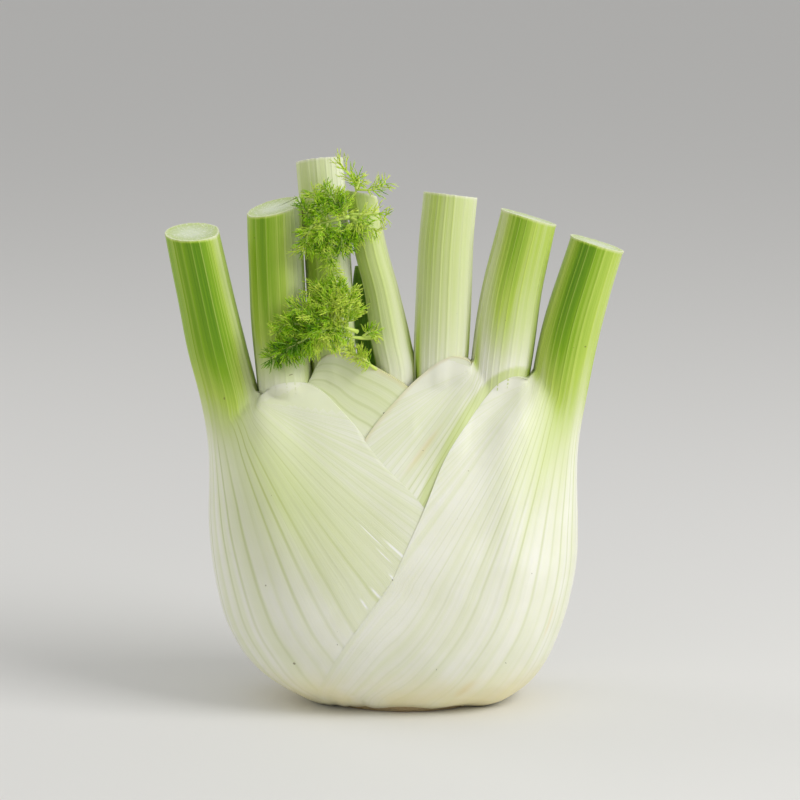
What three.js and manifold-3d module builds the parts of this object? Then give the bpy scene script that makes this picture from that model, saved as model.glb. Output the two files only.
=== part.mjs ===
// A trimmed fennel bulb: six overlapping leaves and a heart leaf round a root plate, each leaf one
// piece from sheath to cut stalk, with three small feathery fronds at the heart.
// Millimetres, +Z up, front towards -Y. The origin is on the flat underside of the root plate.

import * as THREE from 'three';
import Module from 'manifold-3d';

const wasm = await Module();
wasm.setup();

// ---- Driving dimensions -------------------------------------------------------------------------

const TOUCH_GAP = 0.45;      // clearance that a leaf keeps to what it wraps
const GROWTH_DAMPING = 0.02; // steadies a grown piece where its faces are nearly in one plane
const GROWTH_LIMIT = 2.5;    // the furthest a sharp corner moves, in units of the clearance
const WING_THICKNESS = 1.5;  // thickness of a sheath at its front and back margins
const INNER_SINK = 1.2;      // how far a leaf reaches into its neighbour before it is hollowed by it
const SHEATH_BOTTOM = 0.8;   // height of the sheaths' lower rim above the surface
const SHOULDER_TURN = [1.5, 3]; // heights below and above a shoulder in which margin turns to stalk
const STALK_FORMED = 2;      // how far under the shoulder the midrib side is already the stalk's
const GATHER_LEAN = 1.5;     // how much later a sheath gathers towards its margins
const PLAN_REACH = 0.985;    // how near a margin may come to the far side of its plan
const MARGIN_LEAN = 3;       // how sharply a leaf's rings leave the level towards its margins
const SWELL_START = 55;      // height from which a sheath gathers towards its stalk
const STALK_CORNER = THREE.MathUtils.degToRad(150);  // where a stalk's round back meets its inner face
const STALK_HOLLOW = 0.08;   // how far a stalk's inner face dips, as a share of its half width
const BULB_SQUARENESS = 2.3; // exponent of the bulb's superelliptic plan

// The bulb's outline: [height, value].
const BULB_LEFT = [[0, -24], [3, -30.5], [9, -40.6], [18, -48], [30, -52.8], [48, -55.6], [76, -57.1],
  [88, -58.6], [104, -61.2]];
const BULB_RIGHT = [[0, 30], [3, 37.5], [9, 43.8], [18, 48.7], [30, 52.5], [48, 55], [76, 55.2],
  [88, 56.4], [104, 60.5]];
const BULB_HALF_DEPTH = [[0, 17], [3, 23.5], [12, 31.5], [30, 37], [45, 38], [65, 34], [85, 22.5],
  [98, 14], [112, 13]];
const SHEATH_THICKNESS = [[0, 3.6], [6, 5.5], [20, 8.5], [40, 10.5], [60, 12.5], [80, 15], [100, 18]];

// The leaves, outermost first. `front` and `back` are a margin's course from the root to its shoulder,
// [x, height]; `axis` is the stalk's centre, [height, x, y]; `half` and `deep` are its half width and
// half depth by height; `shoulder` is the midrib's height where the margins end; `tilt` is how
// steeply the cut end rises towards +X and towards +Y.
const LEAVES = [
  {
    name: 'right_leaf_1', side: 1, thickness: 1, color: 0xe9eed6, shoulder: 92,
    front: [[-20, SHEATH_BOTTOM], [-23, 6], [-19.8, 14.6], [-8, 33], [3.3, 52.8], [14.8, 76.7], [20.6, 86.3],
      [27.8, 94.9], [31.4, 98.2], [36, 100.3], [40.5, 101]],
    back: [[-10, SHEATH_BOTTOM], [-12, 10], [-6, 25], [4, 45], [18, 75], [26, 88], [33, 95], [40.5, 98]],
    axis: [[60, 44.5, 0], [80, 46.5, 0], [97.5, 49.3, 0], [113, 52.4, 0], [139, 60, 0]],
    half: [[60, 8], [90, 8.8], [113, 9.1], [139, 8.6]], deep: [[60, 9], [95, 9], [139, 8.2]],
    top: 139.2, tilt: [-0.29, -0.085],
  },
  {
    name: 'left_leaf_1', side: -1, thickness: 1, color: 0xe3ead0, shoulder: 86,
    front: [[20, SHEATH_BOTTOM], [27, 8], [27, 20], [22, 35], [7.9, 64.4], [-3.2, 76.5], [-11.7, 86.3],
      [-17.5, 91.7], [-22.5, 96.2], [-26.8, 98.2], [-31, 98.7], [-35.4, 97.9], [-38.6, 95.4],
      [-40, 92.5]],
    back: [[16, SHEATH_BOTTOM], [22, 12], [20, 30], [11, 50], [-6, 78], [-17, 90], [-28, 96], [-35, 96.5],
      [-40, 93]],
    axis: [[60, -45, 0], [80, -47, 0], [94.4, -49.7, 0], [106.6, -52.7, 0], [142.2, -60.2, 0]],
    half: [[60, 8], [90, 9.2], [107, 9.1], [122, 8.7], [142, 8.3]], deep: [[60, 9], [95, 9], [142, 8.3]],
    top: 142.2, tilt: [0.03, 0.2],
  },
  {
    name: 'right_leaf_2', side: 1, thickness: 1, color: 0xe6ecd0, shoulder: 92,
    front: [[-14, SHEATH_BOTTOM], [-27, 12], [-29, 30], [-25, 50], [-19.5, 65], [-8.8, 82.7], [0.2, 92.6],
      [7.3, 99.5], [10.4, 101.9], [13.6, 104], [17.5, 105.3], [21.4, 104.6], [23.6, 102]],
    back: [[-12, SHEATH_BOTTOM], [-22, 12], [-24, 30], [-20, 50], [-14, 65], [-5, 80], [3, 90], [14, 100],
      [23, 102]],
    axis: [[60, 27, 0], [80, 29, 0], [102, 31.4, 0], [122, 34.1, 0], [147, 39.6, 0]],
    half: [[60, 8], [90, 9], [114, 9.4], [147, 8.8]], deep: [[60, 8.5], [95, 8.5], [147, 8]],
    top: 147, tilt: [-0.29, -0.115],
  },
  {
    name: 'left_leaf_2', side: -1, thickness: 0.95, color: 0xd9e4bd, shoulder: 86,
    front: [[12, SHEATH_BOTTOM], [20, 15], [21, 40], [18, 60], [13, 80], [8.5, 91], [3.9, 96.6],
      [-5.4, 102.1], [-13.4, 105.7], [-16.9, 106.5], [-20, 106.1], [-22.6, 104.1], [-23.6, 101],
      [-23.8, 96]],
    back: [[12, SHEATH_BOTTOM], [18, 15], [18, 40], [14, 60], [7, 80], [0, 90], [-8, 97], [-15, 100],
      [-20, 100], [-24, 96]],
    axis: [[60, -29, 0], [80, -31, 0], [97.5, -32.7, 0], [122, -34.7, 0], [149.7, -35.6, 0]],
    half: [[60, 8], [90, 8.6], [122, 8.55], [150, 8.2]], deep: [[60, 8.2], [95, 8.2], [150, 8]],
    top: 149.7, tilt: [0.15, 0.16],
  },
  {
    name: 'right_leaf_3', side: 1, thickness: 0.9, color: 0xdde7bd, shoulder: 88,
    front: [[-8, SHEATH_BOTTOM], [-16, 20], [-14, 55], [-9, 75], [-3, 88], [3, 94], [8, 96]],
    back: [[-8, SHEATH_BOTTOM], [-16, 20], [-12, 55], [-6, 75], [0, 88], [4, 94], [8, 96]],
    axis: [[60, 11, 0], [80, 12.5, 0], [109.6, 13.8, 0], [137, 14.9, 0], [153.5, 16.3, 0]],
    half: [[60, 7.5], [90, 8], [110, 8.6], [153, 8.3]], deep: [[60, 7.6], [153, 7.6]],
    top: 153.5, tilt: [-0.12, -0.2],
  },
  {
    name: 'left_leaf_3', side: -1, thickness: 0.85, color: 0xdfe9c4, shoulder: 88,
    front: [[8, SHEATH_BOTTOM], [12, 20], [10, 50], [6, 70], [-1, 85], [-7, 94], [-12, 96]],
    back: [[8, SHEATH_BOTTOM], [12, 20], [9, 50], [4, 70], [-3, 85], [-8, 94], [-12, 96]],
    axis: [[60, -15, 0], [80, -17, 0], [106.6, -19.2, 0], [130, -20.8, 3], [162.5, -23.2, 9]],
    half: [[60, 7], [110, 7], [162, 7.3]], deep: [[60, 7], [162, 7]],
    top: 162.5, tilt: [0.1, -0.22],
  },
  {
    name: 'heart_leaf', side: 1, thickness: 0, color: 0xe6edcb,
    axis: [[40, 0, 0], [80, 1, 0], [100, 0.6, 0], [109.6, -1.2, 0], [125.2, -4.1, 0],
      [137, -7.2, 0], [153.6, -10.2, 0]],
    half: [[80, 5.9], [110, 5.8], [125, 5.1], [153, 4.5]], deep: [[60, 6.5], [100, 5.6], [153, 4.5]],
    top: 153.6, tilt: [-0.2, -0.2],
  },
];
const CUT_SHEAR_START = 100;       // height above which a leaf's rings begin to slant to its cut
const HEART_GATHER = [60, 94];     // heights between which the heart's core narrows to its stalk

const LEVELS = [SHEATH_BOTTOM, 2.5, 5.5, 10, 18, 30, 42, 53, 62, 69, 75, 80, 84, 88, 93, 101, 116];
const TOP_STEP = 6;                // the last of these levels is at least this far under a cut end
const OUTER_STEPS = 14;
const INNER_STEPS = 4;

const FOOT_CENTRE_X = 3;
const FOOT_SHAPE = [1, 0.8];       // the foot's plan, as shares of its radius along X and Y
const FOOT_PROFILE = [[0, 0], [23, 0], [24.5, 2.5], [22, 8.5], [16, 14], [8, 18.4],
  [0, 19.8]];                      // [radius, height]
const FOOT_SEGMENTS = 20;
const ROOT_COLOR = 0xd9cfa6;
const ROOT_ROUGHNESS = 0.7;

const YOUNG_LEAF = {
  color: 0x4f7a1c, sides: 10, flatness: 0.5, radii: [2.2, 2.8, 2.9, 2.8, 2.6, 2, 0.8],
  route: [[-5.5, 6.5, 90], [-8.5, 7, 105], [-10.5, 7.2, 120], [-11.2, 7.2, 131]],
};

const ROD_REFERENCE = new THREE.Vector3(0, -1, 0);
const BRANCH_STEP = 6;
const BRANCH_SIDES = 4;
const BRANCH_RADIUS = 0.6;
const BRANCH_TIP_RADIUS = 0.4;
const THREAD_SPACING = 3.1;
const THREAD_LENGTH = 7;
const THREAD_TIP_SHARE = 0.6;      // length of the threads at a branch's tip, against those at its root
const THREAD_VARIATION = 0.25;
const THREAD_ROLL = 0.9;           // how far threads turn out of their branch's plane, in radians
const THREAD_RADII = [0.55, 0.38];
const THREAD_SIDES = 3;
const THREAD_OUT = 0.72;           // how far a thread's tip stands off its branch, per unit of length
const THREAD_FORWARD = 0.68;       // and how far it lies towards the branch's tip
const STALK_CLEARANCE = 1.2;

// The fronds' branches: `route` runs from root to tip, and `bare` is the share of it without threads.
const FRONDS = [
  {
    name: 'lower_frond', color: 0x7fa828, seed: 11, lift: 0.15,
    branches: [
      { bare: 0.4, radius: 1, route: [[-5.5, -2, 111], [-10.5, -6.5, 111.5], [-13.5, -8.5, 113],
        [-19, -10.5, 118], [-20.5, -11, 123], [-22, -10, 128.5]] },
      { bare: 0.1, route: [[-18, -10.5, 116.5], [-17.5, -12, 122], [-17.5, -11, 127]] },
      { bare: 0.1, route: [[-15.5, -10, 115.5], [-14, -11.5, 120], [-13, -10, 125]] },
      { bare: 0.2, route: [[-13.5, -9, 113.5], [-11, -10.5, 117.5], [-9.5, -8.5, 122]] },
      { bare: 0.1, route: [[-19, -10.5, 118], [-24.5, -13, 115.5], [-31, -14, 114], [-37, -13.5, 113]] },
      { bare: 0.1, route: [[-22, -12, 116.5], [-28.5, -14.5, 111], [-34, -14.5, 107.5],
        [-39.5, -13, 103.5]] },
      { bare: 0.1, route: [[-22.5, -12, 116.5], [-25.5, -13, 120.5], [-27.5, -11, 124.5]] },
      { bare: 0.1, route: [[-27, -13.5, 115], [-31.5, -14.5, 118.5], [-36, -13.5, 121.5]] },
      { bare: 0.1, route: [[-15.5, -10, 114.5], [-18.5, -12, 112], [-20.5, -11.5, 109.5]] },
      { bare: 0.1, route: [[-23, -12.5, 115.5], [-26, -13.5, 110.5], [-29.5, -12.5, 106.5]] },
      { bare: 0.1, route: [[-9, -5.5, 111.5], [-6.5, -8, 113], [-3.5, -8.5, 111]] },
      { bare: 0.1, route: [[-29.5, -14.5, 110.5], [-32, -13.5, 106.5], [-33.5, -12, 103]] },
    ],
  },
  {
    name: 'upper_frond', color: 0x86b02e, seed: 23, lift: -0.1,
    branches: [
      { bare: 0.5, radius: 1.1, route: [[-11.5, -4, 146.5], [-15, -8, 146], [-20, -9, 146.5],
        [-24.5, -10, 146]] },
      { bare: 0.4, route: [[-13, -7, 146.5], [-11.5, -8.5, 152.5], [-11.5, -8, 157.5], [-13.5, -7, 162],
        [-17.5, -6, 167.5]] },
      { bare: 0.2, route: [[-12.5, -7.5, 159.5], [-13.5, -7, 164], [-14, -6.5, 168.5]] },
      { bare: 0.3, route: [[-11.5, -8, 153], [-8.5, -8.5, 155], [-4.5, -8, 156], [-1, -6.5, 155]] },
      { bare: 0.3, route: [[-11.5, -8, 155], [-10, -7.5, 157.5], [-10.5, -6.5, 160]] },
      { bare: 0.2, route: [[-13, -7, 146.5], [-8.5, -9.5, 147], [-5, -9.5, 145], [-2, -8, 142.5]] },
      { bare: 0.2, route: [[-12.5, -8, 148.5], [-8.5, -9.5, 150.5], [-4.5, -9, 150.5],
        [-1, -7.5, 148.5]] },
      { bare: 0.1, route: [[-16, -8.5, 146.5], [-18.5, -9.5, 152], [-21.5, -8.5, 156], [-24.5, -7, 159]] },
      { bare: 0.1, route: [[-15, -8.5, 147], [-15.5, -10, 151.5], [-16, -8.5, 155.5]] },
      { bare: 0.1, route: [[-21, -9.5, 146.5], [-26, -11, 150], [-29.5, -11, 153.5]] },
      { bare: 0.1, route: [[-24.5, -10, 146], [-26.5, -11.5, 141.5], [-27.5, -11, 136]] },
      { bare: 0.1, route: [[-22.5, -10, 146], [-24.5, -11, 141], [-25, -10, 135]] },
      { bare: 0.1, route: [[-19, -9.5, 146], [-21, -10, 141.5], [-22.5, -9, 137]] },
      { bare: 0.1, route: [[-16.5, -9, 146.5], [-16, -9.5, 141], [-15.5, -8, 135]] },
      { bare: 0.1, route: [[-13, -7.5, 146.5], [-12, -8.5, 140.5], [-11, -7, 133]] },
      { bare: 0.1, route: [[-20.5, -10, 144.5], [-20, -9.5, 137], [-18.5, -8.5, 131.5],
        [-17.5, -8, 126.5]] },
    ],
  },
  {
    name: 'inner_frond', color: 0x9dbb3a, seed: 37, lift: 0.2,
    branches: [
      { bare: 0.3, radius: 0.8, route: [[-3, -4, 100], [-7.5, -7.5, 104.5], [-11.5, -9, 108],
        [-15.5, -9.5, 110]] },
      { bare: 0.1, route: [[-8.5, -8, 105.5], [-9, -9, 107.5], [-10, -9, 109.5]] },
    ],
  },
];

// ---- Helpers ------------------------------------------------------------------------------------

/** A smooth curve through rows of [at, value, ...] that never overshoots them. */
function along(rows, at, column = 1) {
  const last = rows.length - 1;
  const x = THREE.MathUtils.clamp(at, rows[0][0], rows[last][0]);
  let i = 0;
  while (i < last - 1 && rows[i + 1][0] <= x) i += 1;
  const slope = (k) => (rows[k + 1][column] - rows[k][column]) / (rows[k + 1][0] - rows[k][0]);
  const tangent = (k) => {
    if (k === 0) return slope(0);
    if (k === last) return slope(last - 1);
    const [before, after] = [slope(k - 1), slope(k)];
    if (before * after <= 0) return 0;
    const [left, right] = [rows[k][0] - rows[k - 1][0], rows[k + 1][0] - rows[k][0]];
    const [w1, w2] = [2 * right + left, right + 2 * left];
    return (w1 + w2) / (w1 / before + w2 / after);
  };
  const h = rows[i + 1][0] - rows[i][0];
  const t = (x - rows[i][0]) / h;
  return rows[i][column] * (1 + 2 * t) * (1 - t) ** 2 + tangent(i) * h * t * (1 - t) ** 2
    + rows[i + 1][column] * t * t * (3 - 2 * t) + tangent(i + 1) * h * t * t * (t - 1);
}

const smooth = (t) => THREE.MathUtils.smoothstep(t, 0, 1);
const mix = THREE.MathUtils.lerp;
const signedPower = (value, exponent) => Math.sign(value) * Math.abs(value) ** exponent;

/** A repeatable source of random numbers from 0 to 1. */
function seededRandom(seed) {
  let state = seed;
  return () => {
    state = (state + 0x6d2b79f5) | 0;
    let t = Math.imul(state ^ (state >>> 15), 1 | state);
    t = (t + Math.imul(t ^ (t >>> 7), 61 | t)) ^ t;
    return ((t ^ (t >>> 14)) >>> 0) / 4294967296;
  };
}

function toSolid(positions, triangles) {
  const vertProperties = new Float32Array(positions.flat());
  const triVerts = new Uint32Array(triangles.flat());
  return new wasm.Manifold(new wasm.Mesh({ numProp: 3, vertProperties, triVerts }));
}

function toGeometry(solid) {
  const mesh = solid.getMesh();
  const geometry = new THREE.BufferGeometry();
  geometry.setAttribute('position', new THREE.BufferAttribute(new Float32Array(mesh.vertProperties), 3));
  geometry.setIndex(new THREE.BufferAttribute(new Uint32Array(mesh.triVerts), 1));
  geometry.computeVertexNormals();
  return geometry;
}

/**
 * The solid with every face moved out by a distance: each vertex goes to the point that lies, as
 * nearly as it can, that far out from the plane of each face round it.
 */
function grown(solid, distance) {
  const geometry = toGeometry(solid);
  const { position } = geometry.attributes;
  const corners = geometry.index.array;
  const planes = Array.from({ length: position.count }, () => ({
    spread: [GROWTH_DAMPING, 0, 0, 0, GROWTH_DAMPING, 0, 0, 0, GROWTH_DAMPING],
    pull: new THREE.Vector3(),
  }));
  const triangle = new THREE.Triangle();
  const normal = new THREE.Vector3();
  for (let i = 0; i < corners.length; i += 3) {
    triangle.setFromAttributeAndIndices(position, corners[i], corners[i + 1], corners[i + 2]);
    triangle.getNormal(normal);
    const n = normal.toArray();
    for (const vertex of corners.slice(i, i + 3)) {
      const { spread, pull } = planes[vertex];
      spread.forEach((_, k) => { spread[k] += n[Math.floor(k / 3)] * n[k % 3]; });
      pull.addScaledVector(normal, distance);
    }
  }
  const moved = new Float32Array(position.array);
  planes.forEach(({ spread, pull }, vertex) => {
    const step = pull.applyMatrix3(new THREE.Matrix3().set(...spread).invert());
    step.clampLength(0, distance * GROWTH_LIMIT).toArray().forEach((value, axis) => {
      moved[3 * vertex + axis] += value;
    });
  });
  return new wasm.Manifold(new wasm.Mesh({ numProp: 3, vertProperties: moved, triVerts: corners }));
}

/** The largest body of a solid, without the scraps that a cut leaves. */
function mainBody(solid) {
  const bodies = solid.decompose();
  return bodies.reduce((best, body) => (body.volume() > best.volume() ? body : best));
}

// ---- Leaves -------------------------------------------------------------------------------------

/** The plan of the bulb outside leaf `order`: its left and right edges and its half depth. */
function envelope(order, z, clearance = 0) {
  const thickness = along(SHEATH_THICKNESS, z);
  let left = along(BULB_LEFT, z) - WING_THICKNESS;
  let right = along(BULB_RIGHT, z);
  for (const leaf of LEAVES.slice(0, order)) {
    const [onLeft, onRight] = leaf.side < 0
      ? [thickness * leaf.thickness, WING_THICKNESS] : [WING_THICKNESS, thickness * leaf.thickness];
    left += onLeft;
    right -= onRight;
  }
  const depth = along(BULB_HALF_DEPTH, z) - order * WING_THICKNESS;
  return { middle: (left + right) / 2, half: (right - left) / 2 - clearance, depth: depth - clearance };
}

/** A point of a plan, at an angle measured from the leaf's side towards the back. */
function planPoint(plan, side, angle) {
  const power = 2 / BULB_SQUARENESS;
  return [plan.middle + side * plan.half * signedPower(Math.cos(angle), power),
    plan.depth * signedPower(Math.sin(angle), power)];
}

/** The angle at which a plan reaches x. */
function marginAngle(plan, side, x) {
  const share = THREE.MathUtils.clamp(side * (x - plan.middle) / plan.half, -PLAN_REACH, PLAN_REACH);
  return Math.acos(signedPower(share, BULB_SQUARENESS / 2));
}

/** The course through points as a function of the share of its length. */
function course(points) {
  const distances = [0];
  points.slice(1).forEach(([x, z], i) => {
    distances.push(distances[i] + Math.hypot(x - points[i][0], z - points[i][1]));
  });
  const total = distances[distances.length - 1];
  const rows = points.map(([x, z], i) => [distances[i] / total, x, z]);
  return (share) => [along(rows, share, 1), along(rows, share, 2)];
}

for (const leaf of LEAVES.filter(({ front }) => front)) {
  leaf.frontMargin = course(leaf.front);
  leaf.backMargin = course(leaf.back);
}

/**
 * A leaf's surface from its front margin (u = -1) by its midrib (u = 0) to its back margin (u = 1).
 * `row` is the height on the midrib, from which a ring rises or dips towards the margins.
 */
function leafPoint(order, row, u, inside) {
  const leaf = LEAVES[order];
  const centreAt = (z) => [along(leaf.axis, z, 1), along(leaf.axis, z, 2)];
  let z = row;
  let sheath;
  let stalk;
  let gather;
  if (leaf.front) {
    const margin = u < 0 ? leaf.frontMargin : leaf.backMargin;
    const [marginX, marginZ] = margin(THREE.MathUtils.clamp(
      (row - SHEATH_BOTTOM) / (leaf.shoulder - SHEATH_BOTTOM), 0, 1));
    const climbed = Math.max(0, (row - leaf.shoulder) / (leaf.top - leaf.shoulder));
    z = mix(row, mix(marginZ, leaf.top, climbed), Math.abs(u) ** MARGIN_LEAN);
    const plan = inside ? envelope(order + 1, z, INNER_SINK) : envelope(order, z);
    sheath = planPoint(plan, leaf.side, u * marginAngle(plan, leaf.side, marginX));
    stalk = inside
      ? [leaf.side * (Math.cos(STALK_CORNER) - STALK_HOLLOW * (1 - u * u)), Math.sin(STALK_CORNER) * u]
      : [leaf.side * Math.cos(u * STALK_CORNER), Math.sin(u * STALK_CORNER)];
    const from = mix(SWELL_START, leaf.shoulder - SHOULDER_TURN[0], Math.abs(u) ** GATHER_LEAN);
    const to = mix(margin(1)[1] - STALK_FORMED, leaf.shoulder + SHOULDER_TURN[1], Math.abs(u));
    gather = smooth((row - from) / (to - from));
  } else {
    sheath = planPoint(envelope(order, z), leaf.side, u * Math.PI);
    stalk = [leaf.side * Math.cos(u * Math.PI), Math.sin(u * Math.PI)];
    gather = smooth((z - HEART_GATHER[0]) / (HEART_GATHER[1] - HEART_GATHER[0]));
  }
  const centre = centreAt(z);
  const x = mix(sheath[0], centre[0] + along(leaf.half, z) * stalk[0], gather);
  const y = mix(sheath[1], centre[1] + along(leaf.deep, z) * stalk[1], gather);
  const slant = THREE.MathUtils.clamp((z - CUT_SHEAR_START) / (leaf.top - CUT_SHEAR_START), 0, 1);
  const rise = slant * (leaf.tilt[0] * (x - centre[0]) + leaf.tilt[1] * (y - centre[1]));
  const [above, below] = [centreAt(z + 1), centreAt(z - 1)];
  return [x + rise * (above[0] - below[0]) / 2, y + rise * (above[1] - below[1]) / 2, z + rise];
}

/** Triangles that fill the band between two open arcs that run the same way. */
function band(arcA, arcB) {
  const triangles = [];
  let [a, b] = [0, 0];
  while (a < arcA.length - 1 || b < arcB.length - 1) {
    const stepA = a < arcA.length - 1 && (a + 1) / (arcA.length - 1) <= (b + 1) / (arcB.length - 1);
    if (stepA || b === arcB.length - 1) {
      triangles.push([arcA[a], arcA[a + 1], arcB[b]]);
      a += 1;
    } else {
      triangles.push([arcA[a], arcB[b + 1], arcB[b]]);
      b += 1;
    }
  }
  return triangles;
}

/** Side walls between rings of equal length, each ring turning anticlockwise from above. */
function walls(rings) {
  return rings.slice(1).flatMap((upper, level) => rings[level].flatMap((vertex, i) => {
    const next = (i + 1) % upper.length;
    const [corner, opposite] = [rings[level][next], upper[next]];
    return [[vertex, corner, opposite], [vertex, opposite, upper[i]]];
  }));
}

/** A fan over a ring from a vertex in its middle, facing up or down. */
function fan(ring, centre, facesUp) {
  return ring.map((vertex, i) => {
    const next = ring[(i + 1) % ring.length];
    return facesUp ? [vertex, next, centre] : [next, vertex, centre];
  });
}

function middleOf(ring, positions) {
  return [0, 1, 2].map((axis) => ring.reduce((sum, i) => sum + positions[i][axis], 0) / ring.length);
}

/** One leaf before its neighbours hollow it: rings stacked from the sheath's rim to the cut end. */
function rawLeaf(order) {
  const leaf = LEAVES[order];
  const levels = [...LEVELS.filter((z) => z < leaf.top - TOP_STEP), leaf.top];
  const outer = Array.from({ length: OUTER_STEPS + 1 }, (_, i) => 2 * i / OUTER_STEPS - 1);
  const inner = Array.from({ length: INNER_STEPS + 1 }, (_, i) => 1 - 2 * i / INNER_STEPS);
  const stations = leaf.front
    ? [...outer.map((u) => [u, false]), ...inner.map((u) => [u, true])]
    : outer.slice(1).map((u) => [u, false]);
  const positions = levels.flatMap((z) => stations.map(([u, inside]) => leafPoint(order, z, u, inside)));
  const rings = levels.map((_, level) => stations.map((__, i) => level * stations.length + i));
  const [lowest, highest] = [rings[0], rings[rings.length - 1]];
  const triangles = walls(rings);
  positions.push(middleOf(highest, positions));
  triangles.push(...fan(highest, positions.length - 1, true));
  if (leaf.front) {
    const outerArc = lowest.slice(0, outer.length);
    const innerArc = lowest.slice(outer.length).reverse();
    triangles.push(...band(outerArc, innerArc).map(([a, b, c]) => [b, a, c]));
  } else {
    positions.push(middleOf(lowest, positions));
    triangles.push(...fan(lowest, positions.length - 1, false));
  }
  return toSolid(positions, leaf.side > 0 ? triangles : triangles.map(([a, b, c]) => [b, a, c]));
}

// ---- Root plate ---------------------------------------------------------------------------------

/** The root's trimmed plate: a flat oval foot, domed inside where the leaves spring from it. */
function rootPlate() {
  const positions = [[FOOT_CENTRE_X, 0, 0]];
  const rings = FOOT_PROFILE.slice(1, -1).map(([radius, height]) => (
    Array.from({ length: FOOT_SEGMENTS }, (_, i) => {
      const angle = 2 * Math.PI * i / FOOT_SEGMENTS;
      positions.push([FOOT_CENTRE_X + radius * FOOT_SHAPE[0] * Math.cos(angle),
        radius * FOOT_SHAPE[1] * Math.sin(angle), height]);
      return positions.length - 1;
    })));
  positions.push([FOOT_CENTRE_X, 0, FOOT_PROFILE[FOOT_PROFILE.length - 1][1]]);
  const triangles = [...walls(rings), ...fan(rings[0], 0, false),
    ...fan(rings[rings.length - 1], positions.length - 1, true)];
  return toSolid(positions, triangles);
}

// ---- Fronds and young leaf ----------------------------------------------------------------------

const vector = (point) => new THREE.Vector3(...point);

/** A tapering rod through points, with flat ends. */
function rod(points, radii, sides, flatness = 1) {
  const positions = [];
  const rings = points.map((point, k) => {
    const ahead = points[Math.min(k + 1, points.length - 1)].clone();
    const forward = ahead.sub(points[Math.max(k - 1, 0)]).normalize();
    const across = new THREE.Vector3().crossVectors(ROD_REFERENCE, forward).normalize();
    const depth = new THREE.Vector3().crossVectors(forward, across);
    return Array.from({ length: sides }, (_, i) => {
      const angle = 2 * Math.PI * i / sides;
      const offset = across.clone().multiplyScalar(radii[k] * Math.cos(angle))
        .addScaledVector(depth, radii[k] * flatness * Math.sin(angle));
      positions.push(point.clone().add(offset).toArray());
      return positions.length - 1;
    });
  });
  const [first, last] = [rings[0], rings[rings.length - 1]];
  const triangles = walls(rings);
  for (let i = 1; i < sides - 1; i += 1) {
    triangles.push([first[0], first[i + 1], first[i]], [last[0], last[i], last[i + 1]]);
  }
  return toSolid(positions, triangles);
}

/** Moves a point forward until it is clear of every stalk. */
function clearOfStalks(point, clearance) {
  for (const leaf of LEAVES) {
    if (point.z > leaf.top + clearance) continue;
    const [x, y] = [along(leaf.axis, point.z, 1), along(leaf.axis, point.z, 2)];
    const share = (point.x - x) / (along(leaf.half, point.z) + clearance);
    if (Math.abs(share) < 1) {
      const front = y - (along(leaf.deep, point.z) + clearance) * Math.sqrt(1 - share * share);
      if (point.y > front) point.setY(front);
    }
  }
  return point;
}

/** A feathery frond: a stem, its branches, and threads that leave each branch on both sides. */
function frond(plan) {
  const random = seededRandom(plan.seed);
  const spread = (size) => size * (2 * random() - 1);
  const pieces = [];
  for (const branch of plan.branches) {
    const curve = new THREE.CatmullRomCurve3(branch.route.map(vector));
    const length = curve.getLength();
    const steps = Math.max(2, Math.round(length / BRANCH_STEP));
    const points = curve.getSpacedPoints(steps);
    const thick = branch.radius ?? BRANCH_RADIUS;
    pieces.push(rod(points, points.map((_, i) => mix(thick, BRANCH_TIP_RADIUS, i / steps)), BRANCH_SIDES));
    const count = Math.round(length * (1 - branch.bare) / THREAD_SPACING);
    for (let i = 0; i < count; i += 1) {
      const t = mix(branch.bare, 1, (i + 0.5) / count);
      const root = curve.getPointAt(t);
      const forward = curve.getTangentAt(t);
      const across = new THREE.Vector3().crossVectors(ROD_REFERENCE, forward).normalize();
      across.applyAxisAngle(forward, spread(THREAD_ROLL)).multiplyScalar(i % 2 ? 1 : -1);
      const reach = THREAD_LENGTH * mix(1, THREAD_TIP_SHARE, t) * (1 + spread(THREAD_VARIATION));
      const tip = root.clone().addScaledVector(across, reach * THREAD_OUT)
        .addScaledVector(forward, reach * THREAD_FORWARD);
      tip.z += plan.lift * reach;
      clearOfStalks(tip, STALK_CLEARANCE);
      pieces.push(rod([root, tip], THREAD_RADII, THREAD_SIDES));
    }
  }
  return pieces.reduce((whole, piece) => whole.add(piece));
}

/** The furled young leaf that stands behind the heart stalk. */
function youngLeaf() {
  const curve = new THREE.CatmullRomCurve3(YOUNG_LEAF.route.map(vector));
  const points = curve.getSpacedPoints(YOUNG_LEAF.radii.length - 1);
  return rod(points, YOUNG_LEAF.radii, YOUNG_LEAF.sides, YOUNG_LEAF.flatness);
}

// ---- The bulb -----------------------------------------------------------------------------------

const bulb = new THREE.Group();

function place(name, solid, color, roughness = 0.4) {
  const mesh = new THREE.Mesh(toGeometry(solid), new THREE.MeshStandardMaterial({ color, roughness }));
  mesh.name = name;
  bulb.add(mesh);
}

const root = rootPlate();
place('root_plate', root, ROOT_COLOR, ROOT_ROUGHNESS);

// Each piece is hollowed by the grown shape of all that lies inside it, from the root outwards.
let core = grown(root, TOUCH_GAP);

function nest(name, raw, color) {
  place(name, mainBody(raw.subtract(core)), color);
  core = core.add(grown(raw, TOUCH_GAP));
}

for (let order = LEAVES.length - 1; order >= 0; order -= 1) {
  const leaf = LEAVES[order];
  nest(leaf.name, rawLeaf(order), leaf.color);
  if (!leaf.front) nest('young_leaf', youngLeaf(), YOUNG_LEAF.color);
}
for (const plan of FRONDS) nest(plan.name, frond(plan), plan.color);

export default bulb;
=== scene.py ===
import math

import bpy
import numpy as np
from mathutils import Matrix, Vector
from mathutils.bvhtree import BVHTree


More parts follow.
